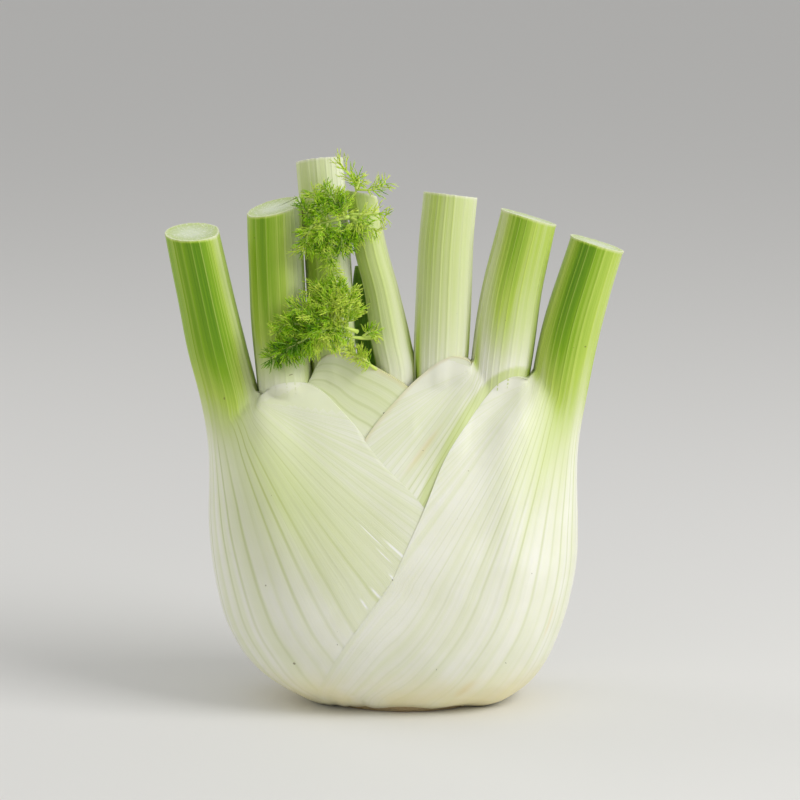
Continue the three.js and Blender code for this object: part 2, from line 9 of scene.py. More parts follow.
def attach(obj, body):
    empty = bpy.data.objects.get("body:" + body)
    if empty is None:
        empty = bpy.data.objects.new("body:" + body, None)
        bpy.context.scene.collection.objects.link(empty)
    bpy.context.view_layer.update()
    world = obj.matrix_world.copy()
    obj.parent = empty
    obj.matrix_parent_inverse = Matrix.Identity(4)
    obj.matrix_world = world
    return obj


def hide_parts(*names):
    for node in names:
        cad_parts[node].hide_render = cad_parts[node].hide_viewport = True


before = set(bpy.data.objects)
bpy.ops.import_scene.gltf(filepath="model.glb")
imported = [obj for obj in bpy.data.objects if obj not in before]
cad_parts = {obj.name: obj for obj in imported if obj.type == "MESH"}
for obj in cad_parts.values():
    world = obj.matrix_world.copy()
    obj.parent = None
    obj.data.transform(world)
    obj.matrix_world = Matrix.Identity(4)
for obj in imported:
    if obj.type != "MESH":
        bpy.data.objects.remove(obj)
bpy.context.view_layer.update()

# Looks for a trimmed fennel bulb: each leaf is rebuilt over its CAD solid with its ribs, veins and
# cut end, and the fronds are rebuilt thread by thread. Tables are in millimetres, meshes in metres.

MM = 0.001

# ---- The bulb's form, as in its solids ----

WING_THICKNESS = 1.5
SHEATH_BOTTOM = 0.8
SHOULDER_TURN = (1.5, 3)
STALK_FORMED = 2
GATHER_LEAN = 1.5
PLAN_REACH = 0.985
MARGIN_LEAN = 3
SWELL_START = 55
STALK_CORNER = math.radians(150)
STALK_HOLLOW = 0.08
BULB_SQUARENESS = 2.3
CUT_SHEAR_START = 100
HEART_GATHER = (60, 94)

BULB_LEFT = [(0, -24), (3, -30.5), (9, -40.6), (18, -48), (30, -52.8), (48, -55.6), (76, -57.1),
             (88, -58.6), (104, -61.2)]
BULB_RIGHT = [(0, 30), (3, 37.5), (9, 43.8), (18, 48.7), (30, 52.5), (48, 55), (76, 55.2),
              (88, 56.4), (104, 60.5)]
BULB_HALF_DEPTH = [(0, 17), (3, 23.5), (12, 31.5), (30, 37), (45, 38), (65, 34), (85, 22.5),
                   (98, 14), (112, 13)]
SHEATH_THICKNESS = [(0, 3.6), (6, 5.5), (20, 8.5), (40, 10.5), (60, 12.5), (80, 15), (100, 18)]

# The leaves, outermost first. `front` and `back` are a margin's course, (x, height). `axis` is the
# stalk's centre, (height, x, y), `half` and `deep` its half width and half depth by height, and
# `tilt` the slope of its cut end along x and y. `veins` is how many run from margin to margin.
# `green` is the stalk's colour, from 0, ivory, to 1, deep green: at the midrib, at the margins, what
# a darker band adds, and that band's place and width as shares of the way from midrib to margin.
# `fade` gives the heights between which green sets in. `wash_and_shade` is a faint patch on the
# sheath, partly its own green and partly painted shade: place and width as above, the heights
# between which it lies, and its strength. `line` is how strongly vein lines show, `fan` whether they
# run straight from the stalk's base, `crevice_shade` how much painted green shade the stalk's sides
# get at its base between neighbours, and `edge` the margin's thickness. `tuck_shadow` is a painted
# green shadow band beside the margin of a leaf that lies over this one: that leaf, the band's width
# and its strength. `glints` are painted highlights, glossy white streaks, and `stains` tan ones, each
# at a vein and a height, with half its width in veins and half its length.
LEAVES = [
    dict(name="right_leaf_1", side=1, thickness=1, shoulder=92,
         front=[(-20, SHEATH_BOTTOM), (-23, 6), (-19.8, 14.6), (-8, 33), (3.3, 52.8), (14.8, 76.7),
                (20.6, 86.3), (27.8, 94.9), (31.4, 98.2), (36, 99.9), (40.5, 98.6)],
         back=[(-10, SHEATH_BOTTOM), (-12, 10), (-6, 25), (4, 45), (18, 75), (26, 88), (33, 95),
               (40.5, 98)],
         axis=[(60, 44.5, 0), (80, 46.5, 0), (97.5, 49.3, 0), (113, 52.4, 0), (139, 60, 0)],
         half=[(60, 8), (90, 8.8), (113, 9.1), (139, 8.6)], deep=[(60, 9), (95, 9), (139, 8.2)],
         top=138.9, tilt=(-0.29, -0.02),
         veins=40, green=(0.34, 0.56, 0.44, 0.74, 0.2), fade=(76, 120), edge=0.15,
         wash_and_shade=(0.5, 0.22, 66, 108, 0.24), fan=True, line=0.5, crevice_shade=0.25, seed=5,
         stains=[(32.9, 9.3, 0.6, 4), (36.4, 28, 0.25, 7)]),
    dict(name="left_leaf_1", side=-1, thickness=1, shoulder=86,
         front=[(20, SHEATH_BOTTOM), (27, 8), (27, 20), (22, 35), (7.9, 64.4), (-3.2, 76.5),
                (-11.7, 86.3), (-17.5, 91.7), (-22.5, 96.2), (-26.8, 98.2), (-31, 98.7),
                (-35.4, 97.9), (-38.6, 95.4), (-40, 92.5)],
         back=[(16, SHEATH_BOTTOM), (22, 12), (20, 30), (11, 50), (-6, 78), (-17, 90), (-28, 96),
               (-35, 96.5), (-40, 93)],
         axis=[(60, -45, 0), (80, -47, 0), (94.4, -49.7, 0), (106.6, -52.7, 0), (142.2, -60.2, 0)],
         half=[(60, 8), (90, 9.2), (107, 9.1), (122, 8.7), (142, 8.3)],
         deep=[(60, 9), (95, 9), (142, 8.3)],
         top=142.2, tilt=(0.03, 0.2),
         veins=38, green=(0.62, 0.36, 0.44, 0.6, 0.22), fade=(72, 112), edge=0.2,
         wash_and_shade=(0.66, 0.28, 42, 102, 0.19), fan=True, line=0.62, crevice_shade=0, seed=2,
         glints=[(28.3, 44.6, 0.1, 1.5), (29.8, 40, 0.13, 2.4), (30.75, 36.8, 0.12, 2.2),
                 (27.1, 57, 0.1, 4.5), (27.6, 51, 0.08, 3), (26.3, 52, 0.3, 5)]),
    dict(name="right_leaf_2", side=1, thickness=1, shoulder=92,
         front=[(-14, SHEATH_BOTTOM), (-27, 12), (-29, 30), (-25, 50), (-19.5, 65), (-8.8, 82.7),
                (0.2, 92.6), (7.3, 99.5), (10.4, 101.9), (13.6, 104), (17.5, 105.3), (21.4, 104.6),
                (23.6, 102)],
         back=[(-12, SHEATH_BOTTOM), (-22, 12), (-24, 30), (-20, 50), (-14, 65), (-5, 80), (3, 90),
               (14, 100), (23, 102)],
         axis=[(60, 27, 0), (80, 29, 0), (102, 31.4, 0), (122, 34.1, 0), (147, 39.6, 0)],
         half=[(60, 8), (90, 9), (114, 9.4), (147, 8.8)], deep=[(60, 8.5), (95, 8.5), (147, 8)],
         top=146.8, tilt=(-0.29, -0.055),
         veins=44, green=(0.42, 0.32, 0.38, 0.7, 0.16), fade=(94, 134), edge=0.45,
         wash_and_shade=(0.8, 0.3, 70, 98, 0.07), fan=True, line=0.6, crevice_shade=0.35, seed=9,
         tuck_shadow=("right_leaf_1", 3.2, 0.17), stains=[(24.8, 80, 1.2, 8)]),
    dict(name="left_leaf_2", side=-1, thickness=0.95, shoulder=86,
         front=[(12, SHEATH_BOTTOM), (20, 15), (21, 40), (18, 60), (13, 80), (8.5, 91), (3.9, 96.6),
                (-5.4, 102.1), (-13.4, 105.7), (-16.9, 106.5), (-20, 106.1), (-22.6, 104.1),
                (-23.6, 101), (-23.8, 96)],
         back=[(12, SHEATH_BOTTOM), (18, 15), (18, 40), (14, 60), (7, 80), (0, 90), (-8, 97),
               (-15, 100), (-20, 100), (-24, 96)],
         axis=[(60, -29, 0), (80, -31, 0), (97.5, -32.7, 0), (122, -34.7, 0), (149.7, -35.6, 0)],
         half=[(60, 8), (90, 8.6), (122, 8.55), (150, 8.2)],
         deep=[(60, 8.2), (90, 8.6), (97, 12), (101, 11.2), (107, 9.4), (116, 8.3), (150, 8)],
         top=149.7, tilt=(0.24, 0.16),
         veins=34, green=(0.52, 0.16, 0.4, 0.48, 0.24), fade=(90, 124), edge=0.5,
         wash_and_shade=(0.95, 0.3, 76, 114, 0.13), line=0.65, crevice_shade=0.1, seed=14),
    dict(name="right_leaf_3", side=1, thickness=0.9, shoulder=88,
         front=[(-8, SHEATH_BOTTOM), (-16, 20), (-14, 55), (-9, 75), (-3, 88), (3, 94), (8, 96)],
         back=[(-8, SHEATH_BOTTOM), (-16, 20), (-12, 55), (-6, 75), (0, 88), (4, 94), (8, 96)],
         axis=[(60, 11, 0), (80, 12.5, 0), (109.6, 13.8, 0), (137, 14.9, 0), (153.5, 16.3, 0)],
         half=[(60, 7.5), (90, 8), (110, 8.6), (153, 8.3)], deep=[(60, 7.6), (153, 7.6)],
         top=153.3, tilt=(-0.12, -0.12),
         veins=36, green=(0.08, 0.42, 0.02, 0.7, 0.2), fade=(80, 140), edge=0.4,
         line=0.3, crevice_shade=0.5, seed=21),
    dict(name="left_leaf_3", side=-1, thickness=0.85, shoulder=88,
         front=[(8, SHEATH_BOTTOM), (12, 20), (10, 50), (6, 70), (-1, 85), (-7, 94), (-12, 96)],
         back=[(8, SHEATH_BOTTOM), (12, 20), (9, 50), (4, 70), (-3, 85), (-8, 94), (-12, 96)],
         axis=[(60, -15, 0), (80, -16.8, 0), (106.6, -18.4, 0), (130, -19.6, 3), (162.5, -22.4, 9.4)],
         half=[(60, 7), (110, 7), (162, 7.3)], deep=[(60, 7), (162, 7)],
         top=162.5, tilt=(0.1, -0.22),
         veins=34, green=(0.16, 0.06, 0.04, 0.5, 0.3), fade=(90, 112), edge=0.4,
         wash_and_shade=(0.42, 0.26, 106, 150, 0.4), line=0.3, crevice_shade=0.6, seed=27),
    dict(name="heart_leaf", side=1, thickness=0,
         axis=[(40, 0, 0), (80, 1, 0), (100, 0.6, 0), (109.6, -1.2, 0), (125.2, -4.1, 0),
               (137, -7.2, 0), (153.6, -10.2, 0)],
         half=[(80, 5.9), (110, 5.8), (125, 5.1), (153, 4.5)],
         deep=[(60, 6.5), (100, 5.6), (153, 4.5)],
         top=153.6, tilt=(-0.2, -0.2),
         veins=26, green=(0.16, 0.4, 0.1, 0.8, 0.3), fade=(86, 136),
         line=0.3, crevice_shade=0.5, seed=33),
]

# ---- The finer surface ----

COLUMNS = 260  # of a leaf's outer side, from margin to margin
FAN_START = 36  # height on the midrib above which veins run straight to the stalk's base
FAN_FROM = (0.3, 0.6)  # shares of the way to a margin between which they start to do so
FAN_BEYOND = 1.6  # how far past the margin's own vein the wings' tops are counted
FAN_SAMPLES = 81
FAN_EDGE = -11  # the sample from which the margin's run is taken on beyond it
FAN_FADE = (0.65, 1.05)  # where vein lines turn fainter
FAINTER = 0.7
VEIN_SAMPLES = 801
VEIN_CROWDING = 0.6  # how much closer veins run at a margin than at the midrib
CROWDED = (0.45, 0.5)  # the share of the way to a margin where that starts, and over what share
VEIN_JITTER = 0.16
STREAK_SPACING = 1.5  # of streaks in the green, in veins
LINING_STEP = 10  # every how many columns the inner side has one
INNER_CLEARANCE = -0.2  # keeps a leaf's inner side off the next leaf
ROW_STEPS = [(SHEATH_BOTTOM, 0.8), (12, 1.6), (60, 1.6), (80, 0.8), (106, 0.9), (118, 2.4)]
GROOVE_DEPTH = 0.12  # of a sheath's veins
GROOVES_FULL = 14  # height at which they have reached that depth
SHALLOW = (80, 16, 0.25)  # the height from which they flatten, over what rise, and what is left
PLEAT_ROUNDNESS = 0.8
RIB_HEIGHT = 0.14  # of a stalk's ribs
RIB_SHARPNESS = 4
SCALLOP = 0.55  # unevenness of the sheaths' lower rim
SCALLOP_HEIGHT = 9
UNEVENNESS = 0.22  # slow swells that all leaves share
MARGIN_WAVE = 0.006  # how far a margin wanders, as a share of the way from the midrib
WAVE_END = 20  # how far below the shoulder it starts to die out
SETTLE_FROM = 0.5  # share of the way to a margin where a sheath starts to lie down
SETTLE_REACH = 9
SETTLE_ROUNDS = 40
SETTLE_FIRM = 0.3  # share of its pull from which a sheath is kept off what it covers
CREVICE_HEIGHT = 100  # where painted green shade falls on stalks' sides between neighbours
CREVICE_REACH = 14
CREVICE_EDGE = (0.85, 0.12)  # the share of the way to a margin where that starts, and over what share
CREVICE_MIDDLE = (0.25, 0.2)  # and the same on the way to the midrib
SEAM_ROUNDS = 30  # of smoothing where wings rise from the stalk
SEAM_TOP = 14  # how far above the shoulder it reaches
GREEN_ROUNDS = 50  # of blurring where a stalk's green meets the ivory of its sheath
GREEN_GATHER = (0.05, 0.85)  # how far a leaf has gathered where green starts, and over what share
STREAK_REACH = 3  # how far single streaks of green run ahead or lag behind
EDGE_DELAY = 6  # how much higher green sets in beside a stalk's edges
EDGE_LATE = (0.45, 0.4)  # the share of the way to the edge where that starts, and over what share
EDGE_PALE_AND_SHEEN = 0.42  # share of its green that a stalk loses along its edges, partly their own paler edges and partly painted sheen and light
EDGE_FADE = (0.84, 0.1)  # where that starts, and over what share
RIM_GREEN = 0.3  # share of its green that the rim of a cut end keeps
LINING_PALE = 0.3  # share of its green that a leaf's inner side loses
MARGIN_SAMPLES = 160
TUCK_SOFTNESS = 0.35  # share of a painted shadow band's width over which its green sets in
FLAT_MARGIN = 0.16  # share of the way to a margin over which the pleats die out
CUT_EDGE = 0.9  # height of the pale edge below a cut
CAP_RINGS = (0.975, 0.93, 0.86, 0.76, 0.64, 0.5, 0.36, 0.22, 0.09)
CAP_BEVEL = 0.1
CAP_DISH = 0.45
CAP_RIPPLE = 0.07

# ---- Root, young leaf and fronds ----

FOOT_CENTRE_X = 3
FOOT_SHAPE = (1.04, 0.83)
FOOT_PROFILE = [(0, 0.2), (5, 0.14), (10, 0.2), (15, 0.1), (19, 0.14), (21.6, 0.05), (22.6, 0),
                (23.4, 0.3), (24.2, 1.3), (24.5, 2.5), (23.6, 5.4), (22, 8.5), (16, 14), (8, 18.4),
                (0, 19.8)]  # (radius, height), from the middle of the underside round to the top
FOOT_SEGMENTS = 120
FOOT_WEAR = 0.25
FOOT_GRAIN = 0.05
YOUNG_ROUTE = [(-5.5, 6.5, 90), (-8.5, 7, 105), (-10.5, 7.2, 120), (-11.2, 7.2, 131)]
YOUNG_RADII = [2.2, 2.8, 2.9, 2.8, 2.6, 2, 0.8]
YOUNG_FLATNESS = 0.5
YOUNG_GRID = (70, 64)
YOUNG_RIBS = 8

STEM_STEPS = 14
STEM_RADII = (0.48, 0.22)  # of a branch that states no radius of its own, at its root and tip
STEM_TAPER = 0.7
LEAFLET_SPACING = 0.9
LEAFLET_STEPS = 4
LEAFLET_RADII = (0.26, 0.14)
THREAD_SPACING = 0.42
THREAD_LENGTH = 3
THREAD_ANGLE = 0.85  # between a leaflet's rib and its threads
THREAD_TURN = (0.6, 1.3)  # the least and the greatest share of that angle
THREAD_SCATTER = 0.25  # how far threads stray from a leaflet's plane
THREAD_BEND = 0.4
THREAD_RADII = (0.17, 0.15, 0.07)
FORK_FORWARD = 0.9
FORK_LENGTH = 0.6  # of a thread's
LEAFLET_STEM = 0.35  # how stem-like a leaflet's rib is coloured
TONE_SPREAD = 0.2
TIP_LIGHTER = 0.16
TIP_SHARE = 0.5  # length at the tip of what carries them, against that at its root
LENGTH_VARIATION = 0.3
ROLL = 0.9  # how far leaflets turn out of one plane, in radians
LEAN_FORWARD = 0.75
CURL = 0.45
SAG = 0.15
FACING = (0.2, -1, 0.4)  # the way that leaflets tend to face
FACING_SPREAD = 0.4
RING_REFERENCE = (0.02, -1, 0.03)
STALK_CLEARANCE = 0.7
STALK_HEADROOM = 8  # above a stalk's cut end, where threads still stay in front of it


def twig(*route, bare=0.1, **own):
    """A branch of a frond, by its route from root to tip."""
    return dict(own, route=route, bare=bare)


# The fronds and their branches. `bare` is the share of a branch's route without leaflets, `sparse`
# spreads out its leaflets and threads, and `radius` is the stem's at its root. `leaflet` is a
# leaflet's length, `lift` how far leaflets turn up or down, and `tone` how light they are, from 0 to
# 1: a branch takes these three from its frond unless it has its own.
FRONDS = [
    dict(name="lower_frond", seed=11, lift=0.1, tone=0.75, leaflet=4.9, branches=[
        twig((-5.5, -2, 111), (-10, -8, 111.5), (-15, -9.5, 112.5), (-18.5, -10.5, 115), bare=0.6,
             radius=1),
        twig((-11, -9, 113.5), (-15.6, -10.5, 115.5), (-19.5, -10.5, 118), (-22, -10, 123.5),
             (-22.5, -9.5, 127), bare=0.3, radius=0.7, tone=0.85),
        twig((-18, -10.5, 117), (-17, -11.5, 123), (-17, -10.5, 127.5), tone=0.85),
        twig((-14.5, -10, 115.5), (-13.5, -11, 121), (-13.5, -10, 125), tone=0.85),
        twig((-19.5, -11, 117), (-25.5, -12.5, 116.5), (-31.5, -13, 116.5), (-35, -13, 114), tone=0.35),
        twig((-21, -12, 115), (-28.5, -13.5, 111), (-33.5, -13.5, 108.5), (-36.5, -12.5, 106.5),
             tone=0.2),
        twig((-22.5, -12, 117.5), (-26, -12.5, 120.5), (-29.5, -12.5, 121), tone=0.5),
        twig((-20, -11.5, 115), (-23, -12.5, 113), (-25.5, -12.5, 110), tone=0.55),
        twig((-17.5, -10.5, 115), (-18.5, -11.5, 113), (-19.5, -11.5, 111), tone=0.7),
        twig((-29, -13.5, 112), (-31, -13, 109), (-32, -12.5, 107.5), tone=0.1),
        twig((-9.5, -8, 112), (-7.5, -9, 113.5), (-5.7, -8.5, 113), bare=0.3, leaflet=2.4),
        twig((-20, -11, 118.5), (-20, -12, 122.5), (-20, -11, 126), tone=0.75),
    ]),
    dict(name="upper_frond", seed=23, lift=-0.1, tone=0.55, leaflet=3.4, branches=[
        twig((-11.5, -4, 147.5), (-14.5, -8, 147.5), (-19, -9, 146.5), (-24, -9.5, 145.5), bare=0.65,
             radius=1.1),
        twig((-14.8, -4.5, 147.5), (-13.8, -5, 151.5), (-11.2, -6, 156), (-12.6, -7, 159),
             (-14.4, -6.5, 161.5), (-16.2, -5.5, 163), bare=0.45, lift=1.2, tone=0.9, leaflet=5.5,
             sparse=2.6),
        twig((-11.6, -5, 155.5), (-8, -6, 155.4), (-5, -6.5, 156), (-3, -6, 157.3), bare=0.4, tone=0.75,
             leaflet=2.2, sparse=1.4),
        twig((-11.4, -8, 156), (-10.6, -7.5, 158), (-10.8, -6.5, 159.5), bare=0.2, leaflet=1.4),
        twig((-13, -7.5, 148.5), (-9.5, -9, 148.5), (-5.5, -9, 149), (-3, -8, 148), bare=0.25,
             tone=0.85, leaflet=3.4, sparse=2.2),
        twig((-13, -8, 147.5), (-9.5, -9.5, 146), (-5.5, -9, 143.5), bare=0.25, tone=0.8, leaflet=3.4,
             sparse=2),
        twig((-12.5, -7.5, 147), (-11, -9, 143.5), (-10.5, -8.5, 141.5), tone=0.6, leaflet=2.6),
        twig((-16, -8.5, 147.5), (-18, -9.5, 153), (-21, -8.5, 156)),
        twig((-15, -8.5, 147.5), (-16, -9.5, 151.5), (-17, -8.5, 154)),
        twig((-20, -9.5, 147), (-22.5, -10, 151), (-24, -8.5, 155)),
        twig((-23, -9.5, 146.5), (-26.5, -10.5, 150), (-27.5, -10.5, 152), bare=0.2, tone=0.15,
             leaflet=1.7),
        twig((-24.5, -9.5, 145.5), (-26, -11, 141.5), (-26.5, -11, 138.5)),
        twig((-22, -9.5, 146), (-23, -11, 142), (-23, -10.5, 138)),
        twig((-20, -9.5, 146), (-20, -10.5, 142), (-20.7, -10, 139.5)),
        twig((-16.5, -8.5, 146.5), (-15.6, -9.5, 141.5), (-16, -9, 138), tone=0.25),
        twig((-14, -7.5, 146), (-13.8, -8.5, 141.5), (-14, -8, 138.5), tone=0.3, leaflet=3),
        twig((-20.5, -10, 143), (-19.5, -9.5, 135), (-18, -8.5, 130), (-17.5, -8, 127.5), tone=0.95,
             leaflet=2.2),
    ]),
    dict(name="inner_frond", seed=37, lift=0.2, tone=1, leaflet=2.4, branches=[
        twig((-3, -4, 99.5), (-7, -7.5, 103), (-11, -9, 106.5), (-14, -9.5, 108.5), bare=0.45,
             radius=0.8),
        twig((-8.5, -8, 104.5), (-9.5, -9, 105.5), (-10.5, -9, 106.5)),
    ]),
]


def ease(share):
    """The share, held from 0 to 1 and rounded off at both ends."""
    share = np.clip(share, 0, 1)
    return share ** 2 * (3 - 2 * share)


def between(value, start, end):
    """From 0 at `start` to 1 at `end`."""
    return ease((value - start) / (end - start))


def sets_in(value, start, reach):
    """From 0 at `start` to 1 once `value` is `reach` past it."""
    return ease((value - start) / reach)


def join(arrays, axis=0):
    return np.concatenate(arrays, axis)


def mix(a, b, share):
    return a + (b - a) * share


def along(rows, at, column=1):
    """A smooth curve through rows of (at, value, ...) that never overshoots them."""
    table = np.asarray(rows, float)
    x, y = table[:, 0], table[:, column]
    step = np.diff(x)
    slope = np.diff(y) / step
    tangent = join([slope[:1], np.zeros(len(x) - 2), slope[-1:]])
    for i in range(1, len(x) - 1):
        before, after = slope[i - 1], slope[i]
        if before * after > 0:
            w1, w2 = 2 * step[i] + step[i - 1], step[i] + 2 * step[i - 1]
            tangent[i] = (w1 + w2) / (w1 / before + w2 / after)
    at = np.clip(np.asarray(at, float), x[0], x[-1])
    i = np.clip(np.searchsorted(x, at) - 1, 0, len(step) - 1)
    t = (at - x[i]) / step[i]
    return (y[i] * (1 + 2 * t) * (1 - t) ** 2 + tangent[i] * step[i] * t * (1 - t) ** 2
            + y[i + 1] * t * t * (3 - 2 * t) + tangent[i + 1] * step[i] * t * t * (t - 1))


def signed_power(value, exponent):
    return np.sign(value) * np.abs(value) ** exponent


def course(points):
    """The curve through (x, height) points as a function of the share of its length."""
    steps = np.hypot(*np.diff(np.asarray(points, float), axis=0).T)
    shares = join([[0], np.cumsum(steps)]) / steps.sum()
    rows = [(share, x, z) for share, (x, z) in zip(shares, points)]
    return lambda share: (along(rows, share, 1), along(rows, share, 2))


def envelope(order, z, clearance=0):
    """The plan of the bulb outside a leaf: its middle, half width and half depth."""
    thickness = along(SHEATH_THICKNESS, z)
    left, right = along(BULB_LEFT, z) - WING_THICKNESS, along(BULB_RIGHT, z)
    for leaf in LEAVES[:order]:
        own = thickness * leaf["thickness"]
        left = left + (own if leaf["side"] < 0 else WING_THICKNESS)
        right = right - (WING_THICKNESS if leaf["side"] < 0 else own)
    depth = along(BULB_HALF_DEPTH, z) - order * WING_THICKNESS
    return (left + right) / 2, (right - left) / 2 - clearance, depth - clearance


def axis_at(leaf, z):
    return along(leaf["axis"], z, 1), along(leaf["axis"], z, 2)


def leaf_surface(order, row, u, inside=False):
    """
    A leaf's surface from its front margin (u = -1) by its midrib (u = 0) to its back margin (u = 1),
    as points and how far each has gathered into the stalk. `row` is the height on the midrib.
    """
    leaf = LEAVES[order]
    row, u = np.broadcast_arrays(np.asarray(row, float), u)
    lean = np.abs(u)
    if "front" in leaf:
        front, back = course(leaf["front"]), course(leaf["back"])
        share = np.clip((row - SHEATH_BOTTOM) / (leaf["shoulder"] - SHEATH_BOTTOM), 0, 1)
        margin_x, margin_z = [np.where(u < 0, *pair) for pair in zip(front(share), back(share))]
        climbed = np.maximum(0, (row - leaf["shoulder"]) / (leaf["top"] - leaf["shoulder"]))
        z = mix(row, mix(margin_z, leaf["top"], climbed), lean ** MARGIN_LEAN)
        plan = envelope(order + 1, z, INNER_CLEARANCE) if inside else envelope(order, z)
        reach = np.clip(leaf["side"] * (margin_x - plan[0]) / plan[1], -PLAN_REACH, PLAN_REACH)
        angle = u * np.arccos(signed_power(reach, BULB_SQUARENESS / 2))
        turn = u * STALK_CORNER
        across, through = np.cos(turn), np.sin(turn)
        if inside:
            across = math.cos(STALK_CORNER) - STALK_HOLLOW * (1 - u * u)
            through = math.sin(STALK_CORNER) * u
        ends = np.where(u < 0, front(1.0)[1], back(1.0)[1])
        start = mix(SWELL_START, leaf["shoulder"] - SHOULDER_TURN[0], lean ** GATHER_LEAN)
        end = mix(ends - STALK_FORMED, leaf["shoulder"] + SHOULDER_TURN[1], lean)
        gather = between(row, start, end)
    else:
        z, plan = row, envelope(order, row)
        angle = u * math.pi
        across, through = np.cos(angle), np.sin(angle)
        gather = between(z, *HEART_GATHER)
    middle, half, depth = plan
    power = 2 / BULB_SQUARENESS
    centre_x, centre_y = axis_at(leaf, z)
    side = leaf["side"]
    x = mix(middle + side * half * signed_power(np.cos(angle), power),
            centre_x + side * along(leaf["half"], z) * across, gather)
    y = mix(depth * signed_power(np.sin(angle), power),
            centre_y + along(leaf["deep"], z) * through, gather)
    slant = np.clip((z - CUT_SHEAR_START) / (leaf["top"] - CUT_SHEAR_START), 0, 1)
    rise = slant * (leaf["tilt"][0] * (x - centre_x) + leaf["tilt"][1] * (y - centre_y))
    above, below = axis_at(leaf, z + 1), axis_at(leaf, z - 1)
    lean_x, lean_y = (above[0] - below[0]) / 2, (above[1] - below[1]) / 2
    return np.stack([x + rise * lean_x, y + rise * lean_y, z + rise], -1), gather


def vein_places(leaf, random):
    """Where the veins lie from margin to margin and beyond, closer together towards the margins."""
    fine = np.linspace(-1, 1, VEIN_SAMPLES)
    spacing = 1 - VEIN_CROWDING * sets_in(np.abs(fine), *CROWDED)
    counted = join([[0], np.cumsum((1 / spacing[1:] + 1 / spacing[:-1]) / 2)])
    counted *= leaf["veins"] / counted[-1]
    numbers = np.arange(leaf["veins"] + 1, dtype=float)
    numbers[1:-1] += random.uniform(-VEIN_JITTER, VEIN_JITTER, leaf["veins"] - 1)
    places = np.interp(numbers, counted, fine)
    step = places[1] - places[0]
    beyond = step * np.arange(1, 2 + int((FAN_BEYOND - 1) / step))
    return join([-1 - beyond[::-1], places, 1 + beyond])


def fan_out(order, rows, u, points):
    """
    A leaf's veins as shares of the way to its margins. They follow u on the lower sheath, then run
    straight from FAN_START to the stalk's base, so that the wings' tops lie beyond 1.
    """
    leaf = LEAVES[order]
    course_of = np.broadcast_to(u, points.shape[:2]).copy()
    if not leaf.get("fan"):
        return course_of
    shares = np.linspace(0, 1, FAN_SAMPLES)
    beyond = np.linspace(1, FAN_BEYOND, FAN_SAMPLES // 4)[1:]
    for side in (-1, 1):
        start = leaf_surface(order, FAN_START + 0 * shares, side * shares)[0][:, ::2]
        end = leaf_surface(order, leaf["shoulder"] + 0 * shares, side * shares)[0][:, ::2]
        spread = (start[-1] - start[FAN_EDGE]) / (shares[-1] - shares[FAN_EDGE])
        start = join([start, start[-1] + spread * (beyond[:, None] - 1)])
        end = join([end, np.broadcast_to(end[-1], (len(beyond), 2))])
        reach, (run_x, run_z) = join([shares, beyond]), (end - start).T
        chosen = u * side > 0
        place = points[:, chosen][..., None, ::2]
        offset = (place[..., 0] - start[:, 0]) * run_z - (place[..., 1] - start[:, 1]) * run_x
        passed = (offset > 0) != (offset[..., :1] > 0)
        after = np.where(passed.any(-1), passed.argmax(-1), len(reach) - 1)
        before = np.maximum(after - 1, 0)
        low = np.take_along_axis(offset, before[..., None], -1)[..., 0]
        high = np.take_along_axis(offset, after[..., None], -1)[..., 0]
        straight = mix(reach[before], reach[after], np.clip(low / (low - high + 1e-9), 0, 1))
        lean = np.abs(u[chosen])
        fanned = between(lean, *FAN_FROM) * ((rows > FAN_START) & (rows < leaf["shoulder"]))
        course_of[:, chosen] = side * mix(lean, straight, fanned)
    return course_of


def leaf_rows(leaf):
    """Heights on the midrib, closest together at the shoulder."""
    rows, (starts, steps) = [SHEATH_BOTTOM], zip(*ROW_STEPS)
    while rows[-1] < leaf["top"]:
        rows.append(rows[-1] + np.interp(rows[-1], starts, steps))
    rows = np.array(rows)
    rows = rows[0] + (rows - rows[0]) * (leaf["top"] - rows[0]) / (rows[-1] - rows[0])
    return np.insert(rows, -1, leaf["top"] - CUT_EDGE)


def grid_normals(points, side):
    """Normals of a grid of points, away from the bulb's middle."""
    normals = np.cross(np.gradient(points, axis=1), np.gradient(points, axis=0)) * side
    return normals / np.maximum(np.linalg.norm(normals, axis=-1, keepdims=True), 1e-9)


def slow_swells(points):
    """A gentle unevenness from -1 to 1 that neighbouring surfaces share."""
    x, y, z = np.moveaxis(points, -1, 0)
    return (np.sin(0.13 * x + 0.07 * z + 1.1) * np.sin(0.09 * y - 0.05 * z + 0.4)
            + 0.6 * np.sin(0.21 * z + 0.06 * x + 2.3) * np.sin(0.17 * x - 0.4)) / 1.6


def blurred(values, rounds):
    """Values on a grid, each averaged with its neighbours a number of times."""
    for _ in range(rounds):
        for axis in (0, 1):
            edged = np.pad(values, [(1, 1) if k == axis else (0, 0) for k in (0, 1)], mode="edge")
            before, after = (edged[:-2], edged[2:]) if axis == 0 else (edged[:, :-2], edged[:, 2:])
            values = (before + 2 * values + after) / 4
    return values


